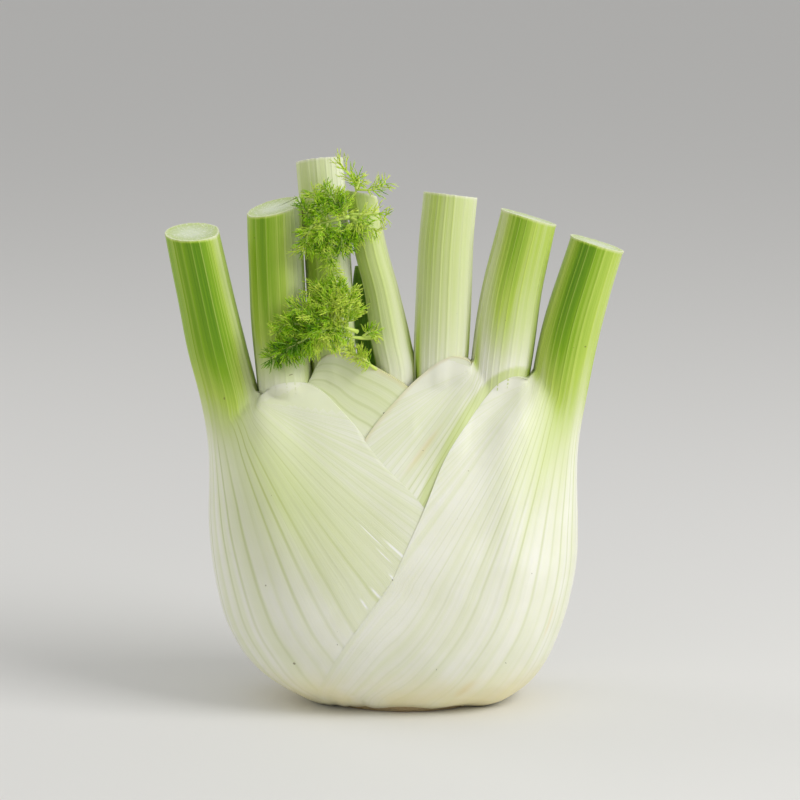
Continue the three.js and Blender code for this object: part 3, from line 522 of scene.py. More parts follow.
def settle(points, u, clearance, core):
    """Lays a sheath towards its margins on what it covers, at a clearance in front of it or behind."""
    pull = between(np.abs(u), SETTLE_FROM, 1)
    outward = np.where(u > 0, 1.0, -1.0)
    drawn = np.zeros(points.shape[:2])
    least = np.full(points.shape[:2], -np.inf)
    for i, j in zip(*np.nonzero(np.broadcast_to(pull > 0, points.shape[:2]))):
        x, y, z = points[i, j]
        hit = core.ray_cast(Vector((x, y + outward[j] * SETTLE_REACH, z)),
                            Vector((0, -outward[j], 0)), 2 * SETTLE_REACH)[0]
        if hit is not None:
            closeness = ease((SETTLE_REACH - abs(hit.y - y)) / (SETTLE_REACH / 3))
            least[i, j] = outward[j] * (hit.y - y) + clearance
            drawn[i, j] = least[i, j] * closeness * pull[j]
    drawn = blurred(drawn, SETTLE_ROUNDS)
    drawn = np.maximum(drawn, np.where(pull > SETTLE_FIRM, least - clearance / 2, -np.inf))
    moved = points.copy()
    moved[..., 1] += outward * drawn
    return moved


def leaf_relief(leaf, points, u, gather, vein, shown):
    """How far each point of a leaf's outer side stands out: pleats on the sheath, ribs on the stalk."""
    height, seed = points[..., 2], leaf["seed"]
    pleat = np.abs(np.sin(math.pi * vein)) ** PLEAT_ROUNDNESS - 1
    uneven = 0.65 + 0.35 * np.sin(vein * 1.9 + seed) * np.sin(height * 0.05 + vein)
    rib = np.maximum(0, np.cos(math.pi * vein)) ** RIB_SHARPNESS
    free = ease(height / GROOVES_FULL) * ease((1 - np.abs(u)) / FLAT_MARGIN)
    flatter = mix(1, SHALLOW[2], sets_in(height, *SHALLOW[:2]))
    sheath = GROOVE_DEPTH * pleat * uneven * flatter
    scallop = (0.6 * np.cos(math.pi * vein / 2 + seed) + 0.5 * np.cos(vein * 0.83)) * (
        SCALLOP * ease((SCALLOP_HEIGHT - height) / SCALLOP_HEIGHT))
    return mix(sheath * free * shown + scallop, RIB_HEIGHT * rib, ease(gather))


# ---- Meshes ----


def make_piece(name, points, faces, marks, material, sharp=None):
    """An object from points in millimetres, with `marks` as its vertices' attributes."""
    mesh = bpy.data.meshes.new(name)
    mesh.from_pydata((np.asarray(points) * MM).tolist(), [], faces)
    for mark, values in marks.items():
        layer = mesh.attributes.new(mark, "FLOAT", "POINT")
        layer.data.foreach_set("value", np.asarray(values, np.float32))
    mesh.polygons.foreach_set("use_smooth", [True] * len(mesh.polygons))
    if sharp is not None:
        mesh.set_sharp_from_angle(angle=math.radians(sharp))
    mesh.materials.append(material)
    piece = bpy.data.objects.new(name, mesh)
    bpy.context.scene.collection.objects.link(piece)
    return piece


def stand_in(node, shape, material, sharp=None):
    """A piece in the place of a CAD node. Its shape is points, faces and marks."""
    piece = make_piece(node + "_grown", *shape, material, sharp)
    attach(piece, "root")
    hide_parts(node)


def ring_walls(count, size, base=0):
    """Quads between `count` rings of `size` vertices each, numbered from `base`."""
    quads = []
    for level in range(count - 1):
        low, high = base + level * size, base + (level + 1) * size
        quads += [(low + i, low + (i + 1) % size, high + (i + 1) % size, high + i)
                  for i in range(size)]
    return quads


def band(arc_a, arc_b):
    """Triangles that fill the band between two open arcs that run the same way."""
    triangles, a, b = [], 0, 0
    last_a, last_b = len(arc_a) - 1, len(arc_b) - 1
    while a < last_a or b < last_b:
        if b == last_b or (a < last_a and (a + 1) / last_a <= (b + 1) / last_b):
            triangles.append((arc_a[a], arc_a[a + 1], arc_b[b]))
            a += 1
        else:
            triangles.append((arc_a[a], arc_b[b + 1], arc_b[b]))
            b += 1
    return triangles


def tucked_shadow(leaf, grid):
    """Painted green shadow on a leaf where it goes in under the front margin of the one over it."""
    if "tuck_shadow" not in leaf:
        return 0
    over, reach, strength = leaf["tuck_shadow"]
    margin = next(other["front"] for other in LEAVES if other["name"] == over)
    x, z = course(margin)(np.linspace(0, 1, MARGIN_SAMPLES))
    distance = np.min(np.hypot(grid[..., 0, None] - x, grid[..., 2, None] - z), axis=-1)
    return strength * ease((reach - distance) / (reach * TUCK_SOFTNESS)) * (grid[..., 1] < 0)


def washed_and_shaded(leaf, across, height):
    """The faint patch on a leaf's sheath: partly its own green, partly painted shade."""
    if "wash_and_shade" not in leaf:
        return 0
    place, width, low, high, strength = leaf["wash_and_shade"]
    return strength * np.exp(-((across - place) / width) ** 2
                             - ((height * 2 - low - high) / (high - low)) ** 2)


def leaf_green(leaf, grid, marks):
    """How green each point of a leaf is, with painted green shade and shadow included."""
    across, gather = marks["across"], marks["stalk"]
    middle, margin, peak, place, width = leaf["green"]
    low, high = leaf["fade"]
    height = grid[..., 2] + STREAK_REACH * marks["streaks"]
    hue = mix(middle, margin, across) + peak * np.exp(-((across - place) / width) ** 2)
    # Stalks paler along their edges: partly their own colour, partly painted sheen and light.
    hue = hue * (1 - EDGE_PALE_AND_SHEEN * sets_in(across, *EDGE_FADE))
    late = EDGE_DELAY * sets_in(across, *EDGE_LATE)
    green = hue * ease((height - low - late) / (high - low)) * sets_in(gather, *GREEN_GATHER)
    green = blurred(green, GREEN_ROUNDS)
    # Painted green shade on the stalks' sides at their base, where neighbours crowd them.
    side = np.maximum(sets_in(across, *CREVICE_EDGE),
                      ease((CREVICE_MIDDLE[0] - across) / CREVICE_MIDDLE[1]))
    shade = leaf["crevice_shade"] * side * ease(gather * 2 - 1) * np.exp(
        -((height - CREVICE_HEIGHT) / CREVICE_REACH) ** 2)
    # Add the wash, partly painted shade, and the painted green shadow under an overlying margin.
    green = (green + washed_and_shaded(leaf, across, height) + shade + tucked_shadow(leaf, grid)) * (
        1 - LINING_PALE * marks["within"])
    green[-1] *= RIM_GREEN
    return green


def cut_end(rim, seed):
    """Rings that step in from the rim of a cut end: bevelled, dished and faintly rippled."""
    centre = rim.mean(0)
    rings = []
    for share in CAP_RINGS:
        ring = centre + (rim - centre) * share
        ring[:, 2] += CAP_BEVEL - CAP_DISH * (1 - share ** 2)
        ring[:, 2] += CAP_RIPPLE * np.sin(ring[:, 0] * 2.3 + seed) * np.sin(ring[:, 1] * 2.9)
        rings.append(ring)
    return rings


def build_leaf(order, core):
    """One leaf, laid on the `core` of leaves inside it: its points, its faces and their marks."""
    leaf = LEAVES[order]
    wraps, side = "front" in leaf, leaf["side"]
    random = np.random.default_rng(leaf["seed"])
    places = vein_places(leaf, random)
    u = np.linspace(-1, 1, COLUMNS + 1)
    rows = leaf_rows(leaf)[:, None]
    wave = MARGIN_WAVE * (np.sin(rows * 0.15 + leaf["seed"]) + 0.6 * np.sin(rows * 0.31)) / 1.6
    wave = wave * ease((leaf.get("shoulder", 0) - rows) / WAVE_END)
    outer, gather = leaf_surface(order, rows, u * (1 + wave * np.abs(u) ** 4))
    outer = outer + grid_normals(outer, side) * UNEVENNESS * slow_swells(outer)[..., None]
    veins, bare = fan_out(order, rows, u, outer), outer
    if wraps:
        eased = np.stack([blurred(outer[..., k], SEAM_ROUNDS) for k in range(3)], -1)
        seam = ease(gather * 3) * ease((leaf["shoulder"] + SEAM_TOP - rows) / SEAM_TOP)
        outer = mix(outer, eased, seam[..., None])
    vein = np.interp(veins, places, np.arange(len(places)))
    if core is not None:
        outer = settle(outer, u, leaf["edge"], core)
    settled = outer
    shown = 1 - FAINTER * between(np.abs(veins), *FAN_FADE)
    relief = leaf_relief(leaf, outer, u, gather, vein, shown)
    outer = outer + grid_normals(outer, side) * relief[..., None]
    knots = np.arange(0, len(places) + 1, STREAK_SPACING)
    streaks = np.interp(vein, knots, random.uniform(-1, 1, len(knots)))
    flat = np.zeros_like(gather)
    marks = dict(vein=vein, across=flat + np.abs(u), stalk=gather, shown=shown, streaks=streaks,
                 within=flat)
    if wraps:
        inner_u = u[::-LINING_STEP]
        inner, gather = leaf_surface(order, rows, inner_u, inside=True)
        inner = inner + (settled - bare)[:, ::-LINING_STEP]
        flat = np.zeros_like(gather)
        lining = dict(vein=flat + len(places) * (1 + inner_u) / 2, across=flat + np.abs(inner_u),
                      stalk=gather, shown=flat + 1, streaks=flat, within=flat + 1)
        grid = join([outer, inner], 1)
        marks = {name: join([marks[name], lining[name]], 1) for name in marks}
    else:
        grid = outer[:, 1:]
        marks = {name: values[:, 1:] for name, values in marks.items()}

    levels, size = grid.shape[:2]
    faces = ring_walls(levels, size)
    if wraps:
        inner_arc = list(range(size - 1, len(u) - 1, -1))
        faces += [(b, a, c) for a, b, c in band(list(range(len(u))), inner_arc)]
    else:
        faces.append(tuple(range(size - 1, -1, -1)))
    faces += ring_walls(len(CAP_RINGS) + 1, size, (levels - 1) * size)
    top = (levels + len(CAP_RINGS) - 1) * size
    faces.append(tuple(range(top, top + size)))
    if side < 0:
        faces = [face[::-1] for face in faces]
    points = join([grid.reshape(-1, 3), *cut_end(grid[-1], leaf["seed"])])

    marks["green"] = leaf_green(leaf, grid, marks)
    below, caps = np.zeros(levels * size), np.repeat([1 - share for share in CAP_RINGS], size)
    marks = {name: join([marks[name].ravel(), np.tile(marks[name][-1], len(CAP_RINGS))])
             for name in ("vein", "across", "stalk", "green", "shown")}
    marks["pith"] = join([below, caps])
    marks["cut"] = join([below, np.ones(len(caps))])
    return points, faces, marks


def route_curve(route):
    """A branch's course by the distance from its root, and its length."""
    route = np.asarray(route, float)
    steps = np.linalg.norm(np.diff(route, axis=0), axis=1)
    rows = np.column_stack([join([[0], np.cumsum(steps)]), route])
    return lambda at: np.stack([along(rows, at, column) for column in (1, 2, 3)], -1), rows[-1, 0]


def unit(vectors):
    return vectors / np.maximum(np.linalg.norm(vectors, axis=-1, keepdims=True), 1e-9)


def clear_of_stalks(points):
    """Moves points forward until they are clear of every stalk."""
    for leaf in LEAVES:
        x, y = axis_at(leaf, points[:, 2])
        share = (points[:, 0] - x) / (along(leaf["half"], points[:, 2]) + STALK_CLEARANCE)
        deep = along(leaf["deep"], points[:, 2]) + STALK_CLEARANCE
        front = y - deep * np.sqrt(np.clip(1 - share ** 2, 0, 1))
        beside = (np.abs(share) < 1) & (points[:, 2] < leaf["top"] + STALK_HEADROOM)
        points[:, 1] = np.where(beside, np.minimum(points[:, 1], front), points[:, 1])
    return points


class Bundle:
    """Many thin tapering stems, kept apart by their number of points and sides."""

    def __init__(self):
        self.groups = {}

    def add(self, spine, radii, sides, tone, stem):
        group = self.groups.setdefault((len(spine), sides), [])
        group.append((spine, radii, tone, stem))

    def mesh(self):
        """All the stems as one mesh, pushed clear of the stalks, with their tone and stem marks."""
        points, faces, tones, stems, base = [], [], [], [], 0
        for (count, sides), group in self.groups.items():
            spines, radii, tone, stem = [np.array(column) for column in zip(*group)]
            spines = clear_of_stalks(spines.reshape(-1, 3)).reshape(spines.shape)
            forward = unit(np.gradient(spines, axis=1))
            across = unit(np.cross(RING_REFERENCE, forward))[..., None, :]
            depth = np.cross(forward[..., None, :], across)
            turn = 2 * math.pi * np.arange(sides)[:, None] / sides
            rings = spines[..., None, :] + radii[..., None, None] * (
                across * np.cos(turn) + depth * np.sin(turn))
            starts = base + np.arange(len(group))[:, None, None] * count * sides
            ends = [range(sides - 1, -1, -1), range((count - 1) * sides, count * sides)]
            for corners in (ring_walls(count, sides), ends):
                faces += (starts + np.array(corners)).reshape(-1, len(corners[0])).tolist()
            points.append(rings.reshape(-1, 3))
            tones.append(np.repeat(tone, count * sides))
            stems.append(np.repeat(stem, count * sides))
            base += len(group) * count * sides
        marks = {"tone": join(tones), "stem": join(stems)}
        return join(points), faces, marks


def bent(root, heading, length, steps, bend):
    """A line of points that leaves `root` along `heading` and bends as it goes."""
    share = np.linspace(0, 1, steps)[:, None]
    return root + length * (heading * share + bend * share ** 2 / 2)


def grow_leaflet(bundle, root, heading, face, length, sparse, tone, random):
    """A leaflet that faces `face`: a fine rib with forked threads on both sides, all bent forward."""
    rib = bent(root, heading, length, LEAFLET_STEPS, random.normal(0, CURL, 3))
    bundle.add(rib, np.linspace(*LEAFLET_RADII, LEAFLET_STEPS), 4, tone, LEAFLET_STEM)
    count = max(3, int(length / THREAD_SPACING / sparse))
    for i in range(count):
        share = (i + 1) / count
        place = share * (LEAFLET_STEPS - 1)
        step = min(int(place), LEAFLET_STEPS - 2)
        start = mix(rib[step], rib[step + 1], place - step)
        forward = unit(rib[step + 1] - rib[step])
        across = np.cross(face, forward) * (1 - i % 2 * 2)
        angle = THREAD_ANGLE * random.uniform(*THREAD_TURN) * (1 - 0.5 * share)
        stray = face * random.normal(0, THREAD_SCATTER)
        out = unit(forward * math.cos(angle) + across * math.sin(angle) + stray)
        reach = THREAD_LENGTH * mix(1, TIP_SHARE, share) * random.uniform(1 - LENGTH_VARIATION, 1.2)
        bend = forward * THREAD_BEND + random.normal(0, CURL / 2, 3)
        thread = bent(start, out, reach, 3, bend)
        shade = np.clip(tone + random.normal(0, TONE_SPREAD) + TIP_LIGHTER * share, 0, 1)
        bundle.add(thread, THREAD_RADII, 3, shade, 0)
        fork_out = unit(out + forward * FORK_FORWARD + random.normal(0, THREAD_SCATTER, 3))
        fork = bent(thread[1], fork_out, reach * FORK_LENGTH, 2, forward)
        bundle.add(fork, THREAD_RADII[1:], 3, shade, 0)


def build_frond(plan):
    """A feathery frond: stems, leaflets that leave them in pairs, and the leaflets' threads."""
    random = np.random.default_rng(plan["seed"])
    bundle = Bundle()
    for branch in plan["branches"]:
        branch = {**plan, **branch}
        curve, length = route_curve(branch["route"])
        spine = curve(np.linspace(0, length, STEM_STEPS))
        thick, sparse = branch.get("radius", STEM_RADII[0]), branch.get("sparse", 1)
        radii = mix(thick, STEM_RADII[1], np.linspace(0, 1, STEM_STEPS) ** STEM_TAPER)
        bundle.add(spine, radii, 7, branch["tone"], 1)
        bare = branch["bare"] * length
        count = round((length - bare) / LEAFLET_SPACING / sparse)
        for i in range(count + 1):
            at = bare + (length - bare) * i / count
            start, forward = curve(at), unit(curve(at + 0.5) - curve(at - 0.5))
            reach = branch["leaflet"] * mix(1, TIP_SHARE, at / length)
            for side in (-1, 1):
                roll = random.uniform(-ROLL, ROLL)
                across = unit(np.cross(RING_REFERENCE, forward)) * side
                out = across * math.cos(roll) + np.cross(forward, across) * math.sin(roll)
                heading = out + forward * LEAN_FORWARD * random.uniform(0.6, 1.4)
                heading = unit(heading + np.array((0, -SAG, branch["lift"])))
                facing = np.array(FACING) + random.normal(0, FACING_SPREAD, 3)
                face = unit(np.cross(heading, np.cross(facing, heading)))
                size = reach * random.uniform(1 - LENGTH_VARIATION, 1 + LENGTH_VARIATION)
                tone = np.clip(branch["tone"] + random.normal(0, TONE_SPREAD), 0, 1)
                grow_leaflet(bundle, start, heading, face, size, sparse, tone, random)
    return bundle.mesh()


def build_young_leaf():
    """The furled young leaf behind the heart: a flattened ribbed sheath that closes at its tip."""
    curve, length = route_curve(YOUNG_ROUTE)
    levels, columns = YOUNG_GRID
    share = np.linspace(0, 1, levels)
    spine = curve(share * length)
    radii = along(list(zip(np.linspace(0, 1, len(YOUNG_RADII)), YOUNG_RADII)), share)
    forward = unit(np.gradient(spine, axis=0))
    across = unit(np.cross((0.0, -1.0, 0.0), forward))
    depth = np.cross(forward, across)
    turn = 2 * math.pi * np.arange(columns) / columns
    rib = 1 + 0.05 * np.cos(YOUNG_RIBS * turn) + 0.03 * np.cos(share[:, None] * 40 + 3 * turn)
    points = spine[:, None] + (radii[:, None] * rib)[..., None] * (
        across[:, None] * np.cos(turn)[:, None]
        + YOUNG_FLATNESS * depth[:, None] * np.sin(turn)[:, None])
    faces = ring_walls(levels, columns)
    top = (levels - 1) * columns
    faces += [tuple(range(columns - 1, -1, -1)), tuple(range(top, top + columns))]
    return points.reshape(-1, 3), faces, {"vein": np.tile(np.arange(columns) / YOUNG_RIBS, levels)}


def build_root():
    """The trimmed root plate: a slightly hollow oval scar with a worn rim."""
    turn = 2 * math.pi * np.arange(FOOT_SEGMENTS) / FOOT_SEGMENTS
    rings = []
    for radius, height in FOOT_PROFILE[1:-1]:
        wear = np.sin(5 * turn + 1) * np.sin(13 * turn) * min(1, radius / 10)
        worn = radius + FOOT_WEAR * wear
        grain = 1 + np.sin(9 * turn + radius) * np.sin(4 * turn + 2 * radius)
        lift = FOOT_GRAIN * grain * (0 < height < 0.6)
        rings.append(np.stack([FOOT_CENTRE_X + worn * FOOT_SHAPE[0] * np.cos(turn),
                               worn * FOOT_SHAPE[1] * np.sin(turn), height + lift], -1))
    size, count = FOOT_SEGMENTS, len(rings)
    middles = [(FOOT_CENTRE_X, 0, FOOT_PROFILE[end][1]) for end in (0, -1)]
    points = join([*rings, middles])
    under, over = size * count, size * count + 1
    faces = ring_walls(count, size)
    last = (count - 1) * size
    faces += [((i + 1) % size, i, under) for i in range(size)]
    faces += [(last + i, last + (i + 1) % size, over) for i in range(size)]
    return points, faces, {}


# ---- Materials ----


def srgb(red, green, blue):
    """A colour given in 0 to 255 display values, as the shader wants it."""
    def linear(value):
        value /= 255
        return value / 12.92 if value <= 0.04045 else ((value + 0.055) / 1.055) ** 2.4
    return linear(red), linear(green), linear(blue), 1


class Paint:
    """A material under construction, with short words for the nodes that it needs."""

    def __init__(self, name, **constants):
        self.material = bpy.data.materials.new(name)
        self.material.use_nodes = True
        self.nodes = self.material.node_tree.nodes
        self.skin = self.nodes["Principled BSDF"]
        for socket, value in constants.items():
            self.skin.inputs[socket.replace("_", " ")].default_value = value

    def put(self, socket, value):
        if isinstance(value, bpy.types.NodeSocket):
            self.material.node_tree.links.new(value, socket)
        elif value is not None:
            socket.default_value = value

    def add(self, kind, inputs=(), **settings):
        node = self.nodes.new(kind)
        for setting, value in settings.items():
            setattr(node, setting, value)
        for key, value in dict(inputs).items():
            self.put(node.inputs[key], value)
        return node

    def mark(self, name):
        return self.add("ShaderNodeAttribute", attribute_name=name).outputs["Fac"]

    def math(self, operation, a, b=None):
        return self.add("ShaderNodeMath", {0: a, 1: b}, operation=operation).outputs[0]

    def times(self, product, *others):
        for other in others:
            product = self.math("MULTIPLY", product, other)
        return product

    def plus(self, a, b):
        return self.math("ADD", a, b)

    def vectors(self, operation, a, b=None, result=0):
        return self.add("ShaderNodeVectorMath", {0: a, 1: b}, operation=operation).outputs[result]

    def fade(self, value, start, end, low=0, high=1):
        """Smoothly from `low` at `start` to `high` at `end`."""
        inputs = {"Value": value, 1: start, 2: end, 3: low, 4: high}
        return self.add("ShaderNodeMapRange", inputs, interpolation_type="SMOOTHSTEP").outputs[0]

    def blend(self, share, a, b):
        return self.add("ShaderNodeMix", {0: share, 6: a, 7: b}, data_type="RGBA").outputs[2]

    def ramp(self, share, stops):
        node = self.add("ShaderNodeValToRGB", {0: share})
        elements = node.color_ramp.elements
        while len(elements) < len(stops):
            elements.new(1)
        for element, (place, color) in zip(elements, stops):
            element.position, element.color = place, color
        return node.outputs["Color"]

    def place(self):
        """The surface point, in millimetres."""
        point = self.add("ShaderNodeTexCoord").outputs["Object"]
        return self.add("ShaderNodeVectorMath", {0: point, "Scale": 1 / MM},
                        operation="SCALE").outputs[0]

    def height(self):
        return self.add("ShaderNodeSeparateXYZ", {0: self.place()}).outputs["Z"]

    def vector(self, x, y, z):
        return self.add("ShaderNodeCombineXYZ", {0: x, 1: y, 2: z}).outputs[0]

    def noise(self, vector, scale, detail=2, roughness=0.5):
        inputs = {"Vector": vector, "Scale": scale, "Detail": detail, "Roughness": roughness}
        return self.add("ShaderNodeTexNoise", inputs).outputs["Fac"]

    def bump(self, height, distance, strength):
        inputs = {"Height": height, "Distance": distance * MM, "Strength": strength}
        self.put(self.skin.inputs["Normal"], self.add("ShaderNodeBump", inputs).outputs[0])

    def finish(self, color, roughness):
        self.put(self.skin.inputs["Base Color"], color)
        self.put(self.skin.inputs["Roughness"], roughness)
        return self.material


IVORY = srgb(240, 240, 226)
LEAF_GREENS = [(0, IVORY), (0.1, srgb(221, 226, 188)), (0.2, srgb(206, 217, 152)),
               (0.42, srgb(180, 203, 84)), (0.68, srgb(132, 172, 24)), (1, srgb(82, 132, 4))]
VEIN_OLIVE = srgb(176, 188, 98)
RIB_LIGHT = srgb(206, 222, 112)
BASE_CREAM = srgb(246, 234, 184)
MARGIN_TAN = srgb(206, 188, 116)
PITH_COLORS = [(0.02, srgb(236, 241, 208)), (0.07, srgb(196, 213, 138)), (0.3, srgb(200, 214, 158)),
               (0.75, srgb(220, 230, 196))]  # from a cut end's rim to its middle
# pale pith fibres on a cut end, partly a painted sparkle highlight
PITH_PALE_AND_SPARKLE = srgb(248, 251, 238)
SPECK = srgb(96, 84, 40)
STAIN = srgb(228, 190, 112)
# The painted highlight of the glossy glints.
GLINT_WHITE = srgb(254, 254, 250)
SUBSURFACE_RADIUS = (1, 0.95, 0.55)
# What mottles the ivory: streaks, a painted silky sheen and clouds, each with the noise between
# which it sets in, its strength and its tint.
MOTTLES_AND_SHEEN = [(0.35, 0.68, 0.34, srgb(222, 230, 178)), (0.4, 0.75, 0.25, srgb(252, 252, 243)),
           (0.35, 0.7, 0.22, srgb(214, 216, 180))]
# Tan stains, and glints that are painted highlights.
MARKS = [("stains", STAIN, 0.22), ("glints", GLINT_WHITE, 0.9)]  # each with its tint and strength
MARK_CORE = 0.2  # share of a stain's or a glint's half length that has its full strength
THICK_MARGIN = 0.3  # a margin that is thicker than this is tinted


def leaf_skin(leaf):
    """Ivory sheath and green stalk, with vein lines, light ribs, streaks, a painted silky sheen and a
    pale cut end.
    """
    paint = Paint(leaf["name"] + " skin", Subsurface_Weight=0.15, Subsurface_Scale=2 * MM,
                  Subsurface_Radius=SUBSURFACE_RADIUS, Coat_Weight=0.04, Coat_Roughness=0.3,
                  Specular_IOR_Level=0.28)
    times, plus, fade, blend = paint.times, paint.plus, paint.fade, paint.blend
    vein, stalk, height = paint.mark("vein"), paint.mark("stalk"), paint.height()
    silk_place = paint.vector(times(vein, 5), times(height, 0.03), leaf["seed"])
    silk_and_sheen = paint.noise(silk_place, 1, 4, 0.65)
    streak = paint.noise(silk_place, 0.25)
    hair = paint.noise(silk_place, 3.2)
    cloud = paint.noise(paint.place(), 0.07, 3)
    green = paint.mark("green")
    wander = times(plus(fade(silk_and_sheen, 0.3, 0.7, -0.04, 0.04), fade(streak, 0.35, 0.65, -0.06, 0.06)),
                   fade(green, 0, 0.6, 0.2, 1))
    color = paint.ramp(plus(green, wander), LEAF_GREENS)
    pale = times(fade(green, 0.05, 0.4, 1, 0), fade(stalk, 0.5, 1, 1, 0.4))
    # Streaks, a painted silky sheen and clouds, on the paler parts.
    for mottle, (start, end, strength, tint) in zip((streak, silk_and_sheen, cloud), MOTTLES_AND_SHEEN):
        color = blend(times(fade(mottle, start, end, 0, strength), pale), color, tint)

    # Vein lines on the sheath, and light ribs on the stalk.
    line = fade(paint.math("PINGPONG", vein, 0.5), 0, 0.19, leaf["line"], 0)
    patchy = fade(paint.noise(silk_place, 0.3, 1), 0.35, 0.6, 0.2, 1)
    sheath = paint.math("SUBTRACT", 1, fade(stalk, 0.5, 1))
    where = times(paint.mark("shown"), fade(height, 10, 80, 0.35, 1))
    color = blend(times(line, patchy, times(sheath, where)), color, VEIN_OLIVE)
    broken = times(fade(streak, 0.3, 0.6, 0.15, 0.42), fade(green, 0.1, 0.4))
    rib = fade(paint.math("PINGPONG", vein, 1), 0.03, 0.2, 1, 0)
    color = blend(times(rib, times(broken, fade(stalk, 0.6, 1))), color, RIB_LIGHT)

    low = fade(height, 1, 18, 0.8, 0)
    color = blend(times(low, fade(cloud, 0.3, 0.6, 0.4, 1)), color, BASE_CREAM)
    # Tan stains, and glints that are painted glossy highlights along the veins.
    for kind, tint, strength in MARKS:
        for at_vein, at_height, wide, long in leaf.get(kind, ()):
            beside = paint.math("ABSOLUTE", paint.math("SUBTRACT", vein, at_vein))
            away = paint.math("ABSOLUTE", paint.math("SUBTRACT", height, at_height))
            spot = times(fade(beside, 0, wide, strength, 0), fade(away, MARK_CORE * long, long, 1, 0))
            color = blend(spot, color, tint)
    if leaf.get("edge", 0) > THICK_MARGIN:
        edge = fade(paint.mark("across"), 0.985, 1, 0, 0.35)
        color = blend(times(edge, sheath), color, MARGIN_TAN)

    fibre = paint.noise(paint.place(), 1.6, 3, 0.7)
    cut_color = paint.ramp(paint.mark("pith"), PITH_COLORS)
    # Pale fibres on the cut end, partly painted sparkle highlights.
    cut_color = blend(fade(fibre, 0.5, 0.68, 0, 0.75), cut_color, PITH_PALE_AND_SPARKLE)
    color = blend(paint.mark("cut"), color, cut_color)
    speck = fade(paint.noise(paint.place(), 0.62, 0), 0.88, 0.895, 0, 0.6)
    color = blend(speck, color, SPECK)

    strands = times(hair, fade(paint.mark("across"), 0.6, 0.95, 0.25, 0.8))
    paint.bump(plus(plus(silk_and_sheen, strands), times(fibre, 0.3)), 0.14, 0.5)
    return paint.finish(color, fade(silk_and_sheen, 0.2, 0.8, 0.36, 0.52))


FROND_DARK = srgb(78, 140, 0)
FROND_GREEN = srgb(158, 218, 14)
FROND_LIGHT = srgb(222, 246, 84)
STEM_PALE = srgb(206, 222, 124)


def frond_skin(name):
    """Thread-like leaflets from deep to yellowish green, on paler stems."""
    paint = Paint(name + " skin", Subsurface_Weight=0.4, Subsurface_Scale=1 * MM,
                  Subsurface_Radius=SUBSURFACE_RADIUS, Specular_IOR_Level=0.25)
    cloud = paint.noise(paint.place(), 0.16)
    tone = paint.plus(paint.mark("tone"), paint.fade(cloud, 0.3, 0.7, -0.25, 0.25))
    color = paint.ramp(tone, [(0, FROND_DARK), (0.5, FROND_GREEN), (1, FROND_LIGHT)])
    color = paint.blend(paint.times(paint.mark("stem"), 0.75), color, STEM_PALE)
    grain = paint.noise(paint.place(), 2.5, 3)
    paint.bump(grain, 0.05, 0.4)
    return paint.finish(color, paint.fade(grain, 0.3, 0.7, 0.4, 0.55))


def young_leaf_skin():
    """Deep green, partly painted shade of the hollow it fills, ribbed lengthwise, paler towards the
    tip.
    """
    paint = Paint("young leaf skin", Subsurface_Weight=0.1, Subsurface_Scale=1 * MM,
                  Subsurface_Radius=SUBSURFACE_RADIUS)
    height = paint.height()
    place = paint.vector(paint.times(paint.mark("vein"), 6), paint.times(height, 0.08), 0)
    streak = paint.noise(place, 1, 4, 0.65)
    # Deep greens, partly painted shade of the dark hollow behind the heart.
    color = paint.ramp(streak, [(0.25, srgb(62, 102, 8)), (0.55, srgb(98, 142, 20)),
                                (0.8, srgb(140, 178, 44))])
    color = paint.blend(paint.fade(height, 127, 131, 0, 0.6), color, srgb(150, 184, 70))
    paint.bump(streak, 0.2, 0.8)
    return paint.finish(color, paint.fade(streak, 0.3, 0.7, 0.38, 0.55))


def root_skin():
    """Cut root tissue: cream with brown rings, fibres and a darker rim."""
    paint = Paint("root skin")
    place = paint.place()
    centred = paint.vectors("ADD", place, (-FOOT_CENTRE_X, 0, 0))
    round_place = paint.vectors("MULTIPLY", centred, (1, 1 / FOOT_SHAPE[1], 0))
    radius = paint.vectors("LENGTH", round_place, result="Value")
    blotch = paint.noise(place, 0.28, 4, 0.6)
    wobble = paint.plus(radius, paint.times(blotch, 4))
    ring = paint.fade(paint.math("PINGPONG", wobble, 2), 0.2, 1.6, 0.5, 0)
    color = paint.ramp(blotch, [(0.3, srgb(206, 190, 146)), (0.6, srgb(224, 212, 170))])
    color = paint.blend(ring, color, srgb(168, 138, 92))
    color = paint.blend(paint.fade(radius, 20, 24, 0, 0.6), color, srgb(150, 116, 72))
    fibre = paint.noise(place, 1.5, 4, 0.7)
    color = paint.blend(paint.fade(fibre, 0.55, 0.7, 0, 0.5), color, srgb(128, 98, 60))
    paint.bump(paint.plus(fibre, ring), 0.35, 0.8)
    return paint.finish(color, paint.fade(fibre, 0.3, 0.7, 0.6, 0.85))


# ---- Scene ----

CAMERA_DISTANCE = 1100
CAMERA_RISE = math.radians(10)
CAMERA_TARGET = (1.5, 0, 91.4)
PIXEL = 0.3  # millimetres that a pixel spans at the target, in an 800-pixel frame
FRAME_PIXELS = 800
SENSOR = 36
LIGHT_TARGET = Vector((0, 0, 80)) * MM
LIGHTS = [("key", (780, -430, 740), 600, 8), ("fill", (-700, -700, 300), 700, 0.3),
          ("rim", (-800, 350, 500), 500, 1.5)]  # each with its place, its side and its watts
SKY_STRENGTH = 0.52
FLOOR_REACH = 9000


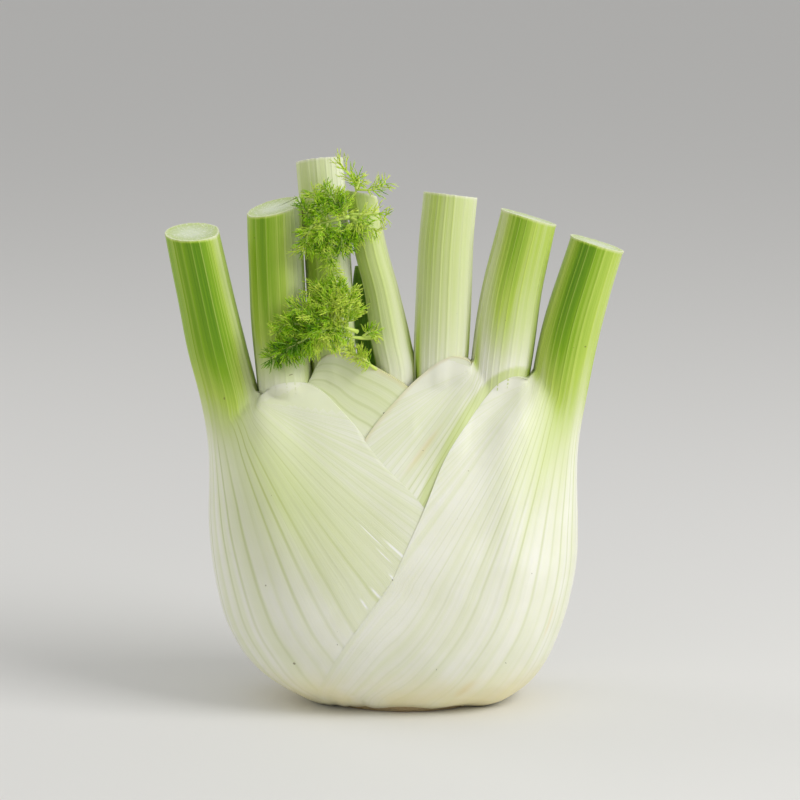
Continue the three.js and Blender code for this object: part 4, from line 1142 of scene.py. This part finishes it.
def add_camera():
    data = bpy.data.cameras.new("camera")
    data.sensor_width = SENSOR
    data.lens = SENSOR * CAMERA_DISTANCE / (PIXEL * FRAME_PIXELS)
    camera = bpy.data.objects.new("camera", data)
    bpy.context.scene.collection.objects.link(camera)
    back = Vector((0, -math.cos(CAMERA_RISE), math.sin(CAMERA_RISE)))
    camera.location = (Vector(CAMERA_TARGET) + back * CAMERA_DISTANCE) * MM
    camera.rotation_euler = (-back).to_track_quat("-Z", "Y").to_euler()
    bpy.context.scene.camera = camera


def add_light(name, place, size, power):
    data = bpy.data.lights.new(name, "AREA")
    data.size, data.energy = size * MM, power
    light = bpy.data.objects.new(name, data)
    bpy.context.scene.collection.objects.link(light)
    light.location = Vector(place) * MM
    light.rotation_euler = (LIGHT_TARGET - light.location).to_track_quat("-Z", "Y").to_euler()


def add_studio():
    """A pale floor under soft light from the front right, filled from the left."""
    world = bpy.data.worlds.new("studio")
    world.use_nodes = True
    sky = world.node_tree.nodes["Background"].inputs
    sky["Color"].default_value = (1, 1, 1, 1)
    sky["Strength"].default_value = SKY_STRENGTH
    bpy.context.scene.world = world
    for light in LIGHTS:
        add_light(*light)
    x = y = FLOOR_REACH
    corners = [(-x, -y, 0), (x, -y, 0), (x, y, 0), (-x, y, 0)]
    skin = Paint("floor").finish(srgb(226, 225, 222), 0.7)
    floor = make_piece("floor", corners, [(0, 1, 2, 3)], {}, skin)
    bpy.context.scene.view_settings.view_transform = "Standard"


# ---- The bulb ----

add_camera()
add_studio()

core_points, core_faces = [], []
for order in reversed(range(len(LEAVES))):
    leaf = LEAVES[order]
    core = BVHTree.FromPolygons(core_points, core_faces) if core_points else None
    shape = build_leaf(order, core)
    stand_in(leaf["name"], shape, leaf_skin(leaf), sharp=50)
    start = len(core_points)
    core_points += shape[0].tolist()
    core_faces += [[start + corner for corner in face] for face in shape[1]]

stand_in("root_plate", build_root(), root_skin(), sharp=40)
stand_in("young_leaf", build_young_leaf(), young_leaf_skin())
for plan in FRONDS:
    stand_in(plan["name"], build_frond(plan), frond_skin(plan["name"]))
